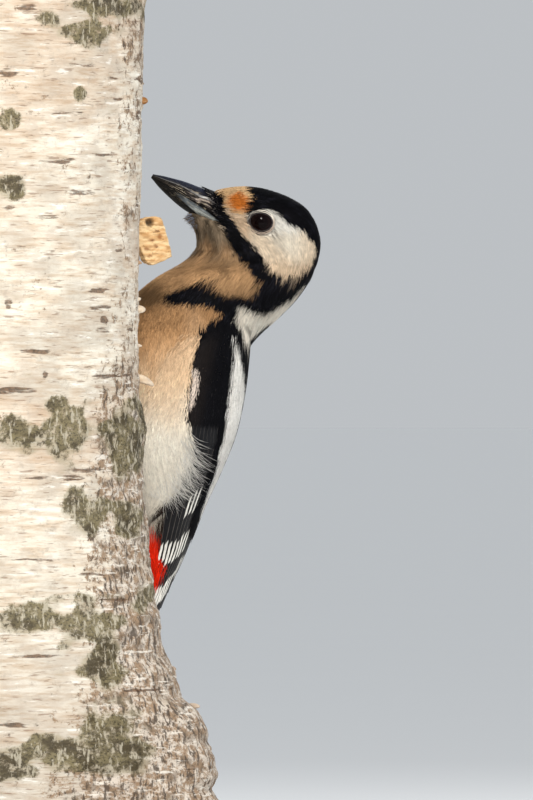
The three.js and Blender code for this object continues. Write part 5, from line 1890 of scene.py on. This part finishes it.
def bark_marks(azimuth, z):
    """Relief in mm, and how much lichen, dark scar and rough old bark there is, by place on the trunk."""
    points = trunk_place(azimuth, z)
    round_mm = np.radians(np.mod(azimuth + 180, 360) - 180) * TRUNK_RADIUS
    flat = np.stack([round_mm, 0 * z, z], -1)
    sheet = lattice_noise(flat, 7.5, 1, (0.35, 1, 1))
    wrinkle = lattice_noise(flat, 2.4, 2, (0.25, 1, 1))
    grit = lattice_noise(flat, 1.7, 3)
    crag = lattice_noise(flat, 5, 17, (0.7, 1, 1))
    blotch = lattice_noise(flat, 16, 4, (0.7, 1, 1)) + 0.5 * lattice_noise(flat, 5.5, 5)
    places = photographed(points)
    column, row = places[..., 0], places[..., 1]
    shown = smooth(*SHOWN_DEPTHS, points[..., 1]) * smooth(*SHOWN_COLUMNS, column)
    wobble = 0.45 * lattice_noise(flat, 5, 6, (0.6, 1, 1.2))
    lichen = shown * spots(places, LICHEN_SPOTS, wobble) + (1 - shown) * smooth(0.2, 0.8, blotch)
    dash = lattice_noise(flat, 2.2, 8, (0.16, 1, 1))
    dash = dash + 0.35 * lattice_noise(flat, 5, 9, (0.1, 1, 0.6))
    scar = shown * spots(places, BARK_SCARS, wobble) + (1 - shown) * smooth(0.55, 0.85, dash)
    # edge: rough old bark along the trunk's right edge as the photograph shows it, partly painted shade where
    # the light grazes the trunk.
    edge = smooth(*EDGE_COLUMNS, column - 0.12 * np.maximum(row - EDGE_SLANTS_ROW, 0))
    edge = edge * (0.4 + 0.6 * smooth(*EDGE_ROWS, row))
    patchy = 0.25 * crag + 0.15 * blotch
    seen_rough = np.maximum(0.75 * edge, smooth(*LOWER_COLUMNS, column) * smooth(*LOWER_ROWS, row) * 0.85)
    seen_rough = np.maximum(seen_rough, smooth(*FOOT_ROWS, row) * smooth(*FOOT_COLUMNS, column))
    far_rough = smooth(130, 70, z) + 0.35 * smooth(0.2, 0.9, blotch)
    rough = np.clip(shown * seen_rough + (1 - shown) * far_rough + patchy, 0, 1)
    relief = 0.14 * sheet + (0.06 + 0.3 * rough) * wrinkle + (0.03 + 0.34 * rough) * grit
    relief = relief + 0.75 * rough * crag - 0.3 * scar * (1 - rough) + 0.2 * lichen * grit
    relief = np.clip(relief, -1.4, 1.3) * (1 - (1 - FOOT_RELIEF) * near_feet(azimuth, z))
    return relief + edge_push(azimuth, z), np.stack([lichen, scar, rough], -1)


def bark_colours(points):
    x, y, z = np.moveaxis(points, -1, 0)
    round_mm = np.arctan2(y - TRUNK_Y, x - TRUNK_X) * TRUNK_RADIUS
    flat = np.stack([round_mm, 0 * z, z], -1)
    wash = lattice_noise(flat, 22, 11, (0.4, 1, 1))
    cloud = lattice_noise(flat, 8, 12, (0.7, 1, 1))
    return overlaid(
        linear(230, 222, 206),
        (smooth(-0.5, 0.7, wash), linear(214, 198, 178)),
        (0.6 * smooth(0.0, 0.8, cloud), linear(196, 188, 174)),
        (0.5 * smooth(0.0, -0.8, cloud), linear(250, 245, 232)),
        (0.5 * smooth(150, 70, z), linear(186, 178, 166)),
    )


def trunk_azimuths():
    """Degrees round the trunk, closer together on the photographed side."""
    fine = np.linspace(FINE_SIDE - 65, FINE_SIDE + 65, TRUNK_COLUMNS_FINE, endpoint=False)
    coarse = np.linspace(FINE_SIDE + 65, FINE_SIDE + 295, TRUNK_COLUMNS_COARSE, endpoint=False)
    return np.concatenate([fine, coarse])


def bark_material():
    """Papery birch bark. Marks holds how much lichen, dark scar and rough old bark there is."""
    paint = Painter("birch_bark")
    colour = paint.coat()
    lichen, scar, rough = paint.parts(paint.carried("Marks"))
    layers = paint.grain((90, 90, 700), detail=6, roughness=0.62)
    patch = paint.grain((260, 260, 340), detail=7, roughness=0.74)
    clump = paint.grain((90, 90, 150), detail=5, roughness=0.62)
    fine = paint.grain((1000, 1000, 1500), detail=5, roughness=0.6)
    dash = paint.grain((150, 150, 1500))
    furrow = paint.grain((620, 620, 200), detail=4, roughness=0.6)

    def ragged(below, mask, noise, reach, low, high, most, over):
        """Lays a colour where a mark is, its edge broken up by noise."""
        shift = paint.times(paint.math("SUBTRACT", noise, 0.5), reach)
        return paint.layer(below, paint.add(mask, shift), low, high, most, over)

    colour = paint.layer(colour, layers, 0.42, 0.66, 0.7, linear(220, 200, 182), "MULTIPLY")
    for mask, low, high, most, over in (
        (clump, 0.45, 0.62, 0.45, (190, 176, 160)),
        (patch, 0.52, 0.64, 0.35, (168, 156, 142)),
        (layers, 0.40, 0.32, 0.6, (252, 248, 240)),
        (dash, 0.60, 0.68, 0.6, (128, 100, 80)),
    ):
        colour = paint.layer(colour, mask, low, high, most, linear(*over))
    old = linear(214, 202, 188)
    for mask, low, high, most, over in (
        (patch, 0.44, 0.56, 1.0, (152, 126, 100)),
        (clump, 0.50, 0.60, 0.6, (108, 90, 72)),
        (furrow, 0.52, 0.60, 0.9, (62, 48, 38)),
        (layers, 0.42, 0.36, 0.85, (234, 226, 214)),
        (fine, 0.54, 0.66, 0.75, (46, 37, 29)),
    ):
        old = paint.layer(old, mask, low, high, most, linear(*over))
    colour = ragged(colour, rough, patch, 2.6, 0.36, 0.62, 0.92, old)
    cracked = paint.layer(linear(112, 84, 62), fine, 0.4, 0.6, 1.0, linear(52, 38, 30))
    colour = ragged(colour, scar, layers, 4.0, 0.55, 1.0, 0.8, cracked)
    colour = ragged(colour, lichen, clump, 2.4, 0.2, 0.9, 0.55, linear(160, 150, 122))
    green = linear(124, 114, 84)
    for mask, low, high, most, over in (
        (clump, 0.42, 0.60, 1.0, (66, 57, 38)),
        (fine, 0.48, 0.62, 0.8, (40, 34, 24)),
        (furrow, 0.46, 0.38, 0.75, (196, 188, 168)),
    ):
        green = paint.layer(green, mask, low, high, most, linear(*over))
    colour = ragged(colour, lichen, patch, 3.2, 0.45, 0.95, 0.9, green)
    height = paint.add(paint.times(fine, 0.4), layers)
    height = paint.add(height, paint.times(patch, paint.add(rough, lichen)))
    return paint.finish(colour, 0.85, paint.bump(height, 0.0006, 0.7), Specular_IOR_Level=0.2)


def end_grain_material():
    """Sawn birch with growth rings round the trunk's axis."""
    paint = Painter("sawn_end")
    place = paint.parts(paint.node("TexCoord", {}).outputs["Object"])
    from_x = paint.math("SUBTRACT", place[0], TRUNK_X * MM)
    from_y = paint.math("SUBTRACT", place[1], TRUNK_Y * MM)
    square = paint.add(paint.times(from_x, from_x), paint.times(from_y, from_y))
    wobble = paint.grain(30)
    radius = paint.add(paint.math("SQRT", square), paint.times(wobble, 0.006))
    rings = paint.math("ABSOLUTE", paint.math("SINE", paint.times(radius, 1500)))
    grain = paint.grain(700, detail=4)
    colour = paint.mix(paint.between(rings, 0.0, 0.6, 0.45, 0.0), linear(214, 178, 134), linear(150, 104, 66))
    colour = paint.layer(colour, grain, 0.3, 0.7, 0.25, linear(128, 92, 62))
    colour = paint.layer(colour, radius, 0.075, 0.078, 0.8, linear(88, 60, 42))
    return paint.finish(colour, 0.8, paint.bump(grain, 0.0002, 0.5))


def build_trunk():
    azimuth = trunk_azimuths()
    z = np.linspace(TRUNK_BOTTOM + BARK_INSET, TRUNK_TOP - BARK_INSET, BARK_ROWS)
    height, around = paired(z, azimuth)
    relief, marks = bark_marks(around, height)
    points = trunk_place(around, height, relief)
    faces = grid_faces(BARK_ROWS, len(azimuth), closed=True)
    new_piece("bark", points, faces, bark_material(), "bark", ["perch_trunk"], colours=bark_colours(points),
              attributes={"Marks": marks}, body_frame=False)
    wood = end_grain_material()
    axis = np.array([TRUNK_X, TRUNK_Y, 0])
    for name, row, end, inward in (("sawn_foot", 0, TRUNK_BOTTOM, 1), ("sawn_top", -1, TRUNK_TOP, -1)):
        edge = points[row]
        rings = [axis + (edge - axis) * share for share in (1.0, 0.996, 0.985, 0.7, 0.35)]
        levels = (edge[:, 2].mean(), end + 0.6 * inward, *[end + 0.3 * inward] * 3)
        for ring, level in zip(rings, levels):
            ring[:, 2] = level
        grid, faces = closed_loft(np.stack(rings))
        new_piece(name, grid, inside_out(faces) if row == 0 else faces, wood, "split_wood", body_frame=False)


PEEL_THICK = 0.35
PEELS = [
    # azimuth, height, half width and half height in mm, lift of the loose edge, which way it lifts
    (150, 140, 18, 7, 2.0, 1), (190, 220, 14, 5, 1.8, -1), (240, 110, 15, 6, 2.0, 1),
    (95, 290, 12, 5, 1.8, 1), (215, 290, 10, 4, 1.4, 1), (165, 260, 12, 3, 1.4, -1),
    (-128, 180, 14, 4, 1.6, 1),
]


def build_peels(material):
    """Thin loose sheets of bark that lift at one edge."""
    x, y = np.linspace(-1, 1, 40)[None, :], np.linspace(-1, 1, 14)[:, None]
    sheets, colours = [], []
    for seed, (azimuth, height, half_width, half_height, lift, way) in enumerate(PEELS, start=40):
        edge = noise_over(x[0] * 3, 0, 0, seed=seed)
        fine = noise_over(x[0] * 11, 0, 0, seed=seed + 1)
        shrink = np.sqrt(np.clip(1 - 0.92 * x**2, 0.02, 1)) * (1 + 0.3 * edge + 0.12 * fine)
        around = azimuth + np.degrees(half_width * x / TRUNK_RADIUS) + 0 * y
        z = height + half_height * y * shrink
        loose = np.clip((y * way + 0.6) / 1.6, 0, 1) ** 2
        relief, _ = bark_marks(around, z)
        top = relief + 0.3 + loose * lift * (1 - 0.5 * x**2) * (1 + 0.25 * edge)
        upper, lower = trunk_place(around, z, top), trunk_place(around, z, top - PEEL_THICK)
        sheets.append(np.concatenate([upper, lower[:, ::-1]], 1))
        tone = blend_colours(loose * 0.5 + 0 * x, linear(236, 226, 208), linear(196, 164, 132))
        back = np.broadcast_to(linear(150, 100, 64), tone.shape)
        colours.append(capped(np.concatenate([tone, back], 1)))
    points, faces = join_lofts(sheets)
    new_piece("bark_peels", points, faces, material, "bark", colours=np.vstack(colours), body_frame=False)


# Loose flakes that stand out of the trunk's right edge: pixel column of the tip, row, half height in mm,
# droop and colour.
FLAKES = [
    (145.5, 309, 1.3, 0.2, (232, 222, 204)), (154, 378, 1.4, 2.4, (228, 212, 188)),
    (148, 101, 1.3, 0.0, (150, 104, 58)), (141, 300, 0.8, -0.4, (236, 226, 208)),
    (144, 83, 0.7, 0.2, (120, 92, 66)), (142, 345, 0.6, 0.3, (230, 216, 196)),
    (142, 262, 0.7, 0.3, (160, 124, 90)), (176, 668, 0.8, 0.4, (176, 140, 104)),
    (200, 706, 0.9, 0.2, (206, 188, 168)),
]


def build_flakes(material):
    turn, t = full_turn(16)[None, :], np.linspace(0, 1, 14)[:, None]
    flakes, colours = [], []
    for number, (tip, row, half, droop, tone) in enumerate(FLAKES):
        rng = dice(f"flake {number}")
        y = TRUNK_Y - 4 + rng.uniform(-2, 2)
        x_tip, z = place_at(tip, row, y)
        x_root, _ = place_at(np.interp(row, *BARK_EDGE.T), row, y)
        x = x_root - 2.2 + (x_tip - x_root + 2.2) * t + 0 * turn
        swell = np.sqrt(np.clip(1 - (0.98 * (2 * t - 0.9) / 1.1) ** 2, 0.02, 1))
        swell = swell * (1 + 0.12 * np.cos(3 * turn + number))
        height = z + half * swell * np.sin(turn) - droop * t**2
        depth = y + 0.8 * half * swell * np.cos(turn) + 0.3 * half * np.sin(5 * t + number)
        flakes.append(np.stack([x, depth, height], -1))
        count = x.size + 2
        colours.append(np.broadcast_to(linear(*tone), (count, 3)) * rng.uniform(0.85, 1.05, (count, 1)))
    points, faces = join_lofts(flakes)
    colours = np.clip(np.vstack(colours), 0, 1)
    new_piece("bark_flakes", points, faces, material, "bark", colours=colours, body_frame=False)


SPLINTER_AZIMUTH, SPLINTER_HEIGHT, SPLINTER_THICK = 21, 241.5, 4.6
# The splinter's outline in the photograph, from its lower root round its end and back along its top.
SPLINTER_OUTLINE = [
    (124, 246), (138, 247), (143.1, 260.6), (146, 263.4), (151.2, 264.8), (158, 262.5), (166, 259),
    (170.6, 256.6), (169.6, 250), (166.6, 238), (163.4, 226), (162, 222), (159.3, 217.6), (152, 216.6),
    (146, 217), (140.4, 219), (137, 224), (124, 226),
]
# The dent is painted near black as the shade inside it.
SPLINTER_HOLLOW = (149.5, 222.5, 4.8, 5.0)  # pixel column, row, half width and half height of the dark dent
SPLINTER_SPOTS = [
    (152, 240, 3.2, 2.4), (147, 249, 3, 1.8), (156, 246, 2.4, 2), (150, 256, 3, 1.4), (160, 236, 2, 3),
]
SPLINTER_SLOPE, SPLINTER_TOP = (157, 168), 218  # pixel columns of its cut right side, at the row of its top


def splinter_material():
    paint = Painter("split_wood")
    base = paint.coat()
    grain = paint.grain((300, 300, 1300), detail=5, roughness=0.6)
    fleck = paint.grain((600, 600, 900))
    colour = paint.layer(base, grain, 0.45, 0.65, 0.5, linear(150, 108, 66))
    colour = paint.layer(colour, fleck, 0.62, 0.7, 0.7, linear(96, 60, 34))
    return paint.finish(colour, 0.8, paint.bump(grain, 0.0005, 0.8), Specular_IOR_Level=0.2)


def build_splinter():
    """A short split stub of pale wood, rough at its ends, standing out of the bark."""
    turn = math.radians(SPLINTER_AZIMUTH)
    root = bark_radius(SPLINTER_AZIMUTH, SPLINTER_HEIGHT)
    depth_y = TRUNK_Y + (root + 6) * math.sin(turn)
    column, row = np.array(SPLINTER_OUTLINE, float).T
    x, z = place_at(column, row, depth_y)
    corners = np.stack([(x - TRUNK_X) / math.cos(turn), z], -1)
    outline = []
    for here, there in zip(corners, np.roll(corners, -1, axis=0)):
        count = max(2, int(np.linalg.norm(there - here) / 0.3))
        share = np.linspace(0, 1, count, endpoint=False)[:, None]
        outline.append(here + (there - here) * share)
    outline = np.vstack(outline)
    normal = unit(np.roll(outline, -1, axis=0) - np.roll(outline, 1, axis=0)) @ np.array([[0, -1], [1, 0]])
    chip = noise_over(outline[:, 0], outline[:, 1], 0, 1.1, 21)
    outline = outline + normal * (0.2 * chip)[:, None]
    middle = outline.mean(0)
    shares = np.concatenate([np.linspace(0.03, 0.88, 12), [0.94, 0.98, 1.0]])
    rounded = [-0.93, -0.78, *np.linspace(-0.5, 0.5, 5), 0.78, 0.93]
    depths = np.concatenate([np.full(13, -1.0), rounded, np.full(13, 1.0)])
    shares = np.concatenate([shares, np.ones(5), shares[::-1]])
    layers = middle + (outline - middle) * shares[:, None, None]
    out, z = np.moveaxis(layers, -1, 0)
    side = depths[:, None] * SPLINTER_THICK / 2 + 0 * out
    fibre = noise_over(out * 0.35, 0, z * 1.8, seed=22)
    ragged = noise_over(out, side, z, 1.6, 23)
    front = smooth(-0.2, 0.6, depths)[:, None]

    def model_point(side):
        x = TRUNK_X + out * math.cos(turn) + side * math.sin(turn)
        y = TRUNK_Y + out * math.sin(turn) - side * math.cos(turn)
        return np.stack([x, y, z], -1)

    places = photographed(model_point(side))
    column, row, half_width, half_height = SPLINTER_HOLLOW
    away = np.hypot((places[..., 0] - column) / half_width, (places[..., 1] - row) / half_height)
    hollow = smooth(1.15, 0.45, away + 0.25 * ragged) * front
    slope = smooth(*SPLINTER_SLOPE, places[..., 0] - 0.28 * (places[..., 1] - SPLINTER_TOP)) * front
    side = side + (0.16 * fibre + 0.25 * ragged) * np.sign(side) - (1.5 * hollow + 1.3 * slope) * front
    points, faces = closed_loft(model_point(side))
    colour = overlaid(
        linear(236, 204, 156),
        (smooth(-0.6, 0.6, fibre), linear(206, 160, 108)),
        (0.8 * spots(places, SPLINTER_SPOTS, 0.5 * ragged), linear(138, 84, 44)),
        (0.85 * smooth(0.3, 0.8, slope), linear(250, 234, 196)),
        # painted shade in the dent
        (0.95 * hollow, linear(44, 34, 24)),
    )
    new_piece("splinter", points, faces, splinter_material(), "split_wood", ["perch_splinter"],
              colours=capped(np.clip(colour, 0, 1)), body_frame=False)


def lathe(name, profile, material, slot, *nodes, centre=(0, 0), sides=128):
    """A round piece from a profile of (radius, height) points, closed over both ends."""
    turn = full_turn(sides)
    radius, z = np.array(profile, float).T
    x = centre[0] + radius[:, None] * np.cos(turn)
    y = centre[1] + radius[:, None] * np.sin(turn)
    points, faces = closed_loft(np.stack([x, y, z[:, None] + 0 * x], -1))
    new_piece(name, points, faces, material, slot, nodes, body_frame=False)


def stand_wood():
    """Dark hardwood under a thin coat of varnish."""
    paint = Painter("stand_wood")
    grain = paint.grain((14, 420, 420), detail=6, roughness=0.6, distortion=0.4)
    figure = paint.grain((5, 60, 60), distortion=1.2)
    colour = paint.layer(linear(74, 43, 26), grain, 0.3, 0.7, 1.0, linear(118, 74, 46))
    colour = paint.layer(colour, figure, 0.4, 0.62, 0.45, linear(52, 29, 18))
    return paint.finish(colour, 0.38, paint.bump(grain, 0.0001, 0.35), Coat_Weight=0.35, Coat_Roughness=0.2)


def stand_steel():
    paint = Painter("stand_steel")
    brush = paint.grain((400, 400, 9000))
    colour = paint.mix(brush, (0.50, 0.50, 0.51), (0.62, 0.62, 0.63))
    roughness = paint.between(brush, 0.3, 0.7, 0.24, 0.4)
    return paint.finish(colour, roughness, paint.bump(brush, 0.00002, 0.4), Metallic=1.0)


def build_stand():
    wood = stand_wood()
    corner = [
        (BASE_RADIUS - BASE_BEVEL * (1 - math.sin(a)), BASE_THICKNESS - BASE_BEVEL * (1 - math.cos(a)))
        for a in np.linspace(math.pi / 2, 0, 9)
    ]
    foot = [(0.3, 0), (60, 0), (BASE_RADIUS - 0.6, 0), (BASE_RADIUS, 0.6)]
    top = [(BASE_RADIUS - BASE_BEVEL - 3, BASE_THICKNESS), (60, BASE_THICKNESS), (0.3, BASE_THICKNESS)]
    lathe("base_wood", foot + corner + top, wood, "stand_wood", "stand_base", sides=256)
    steel = stand_steel()
    profile = [(0.2, ROD_BOTTOM), (ROD_RADIUS, ROD_BOTTOM), (ROD_RADIUS, ROD_TOP), (0.2, ROD_TOP)]
    for number, y in ((1, TRUNK_Y - ROD_SPACING / 2), (2, TRUNK_Y + ROD_SPACING / 2)):
        lathe(f"rod_{number}", profile, steel, "stand_steel", f"stand_rod_{number}", centre=(TRUNK_X, y),
              sides=64)


# ---------------------------------------------------------------- stage
FLOOR_RADII = (0.2, 0.6, 2, 8, 40, 300)  # in metres
SKY_COLOUR, SKY_STRENGTH = (0.92, 0.96, 1.0, 1), 0.55
LIGHT_TARGET = (70, 40, 210)


def build_stage():
    """A wide plain floor and an even sky that light the model softly."""
    paint = Painter("floor")
    colour = paint.mix(paint.grain(3, detail=2), (0.98, 0.985, 0.985), (0.99, 0.995, 0.995))
    material = paint.finish(colour, 0.9, Specular_IOR_Level=0.2)
    count = 96
    turn = full_turn(count)
    radii = np.array(FLOOR_RADII)[:, None] * 1000
    rings = np.stack([radii * np.cos(turn), radii * np.sin(turn), 0 * radii * turn], -1)
    points = np.vstack([rings.reshape(-1, 3), [(0, 0, 0)]])
    here = np.arange(count)
    middle = np.stack([here, (here + 1) % count, np.full(count, len(points) - 1)], -1)
    rings = grid_faces(len(FLOOR_RADII), count, closed=True)[:, ::-1]
    new_piece("floor", points, [rings, middle], material, body_frame=False)

    world = bpy.data.worlds.new("studio")
    bpy.context.scene.world = world
    world.use_nodes = True
    background = world.node_tree.nodes["Background"]
    background.inputs["Color"].default_value = SKY_COLOUR
    background.inputs["Strength"].default_value = SKY_STRENGTH


def add_light(name, place, size, power, colour=(1, 1, 1)):
    """A soft square light at a place in mm, aimed at the bird."""
    data = bpy.data.lights.new(name, "AREA")
    data.size = size * MM
    data.energy = power
    data.color = colour
    light = bpy.data.objects.new(name, data)
    light.location = [value * MM for value in place]
    aim = Vector(LIGHT_TARGET) * MM - light.location
    light.rotation_euler = aim.to_track_quat("-Z", "Y").to_euler()
    bpy.context.scene.collection.objects.link(light)


add_camera()
build_stage()
add_light("key", (130, -1800, 1400), 380, 37, (1, 0.96, 0.9))
add_light("fill", (1700, -1300, 500), 2800, 9)
add_light("back", (900, 1800, 1300), 900, 8)
bpy.context.scene.view_settings.view_transform = "Standard"

coat_paint = coat_material()
vane_paint = vane_material()
build_skin(coat_paint)
build_coat(coat_paint)
build_thigh_coats(coat_paint)
for wing in SIDES:
    build_wing(wing, coat_paint, vane_paint)
    build_flank_plumes(wing, coat_paint)
build_tail(vane_paint)
for eye, way in (("left", 1), ("right", -1)):
    build_eye(eye, way)
    build_lids(eye, way)
build_bill_halves()
build_face_bristles(coat_paint)
build_feet()
build_trunk()
build_peels(bpy.data.materials["birch_bark"])
build_flakes(bpy.data.materials["birch_bark"])
build_splinter()
build_stand()
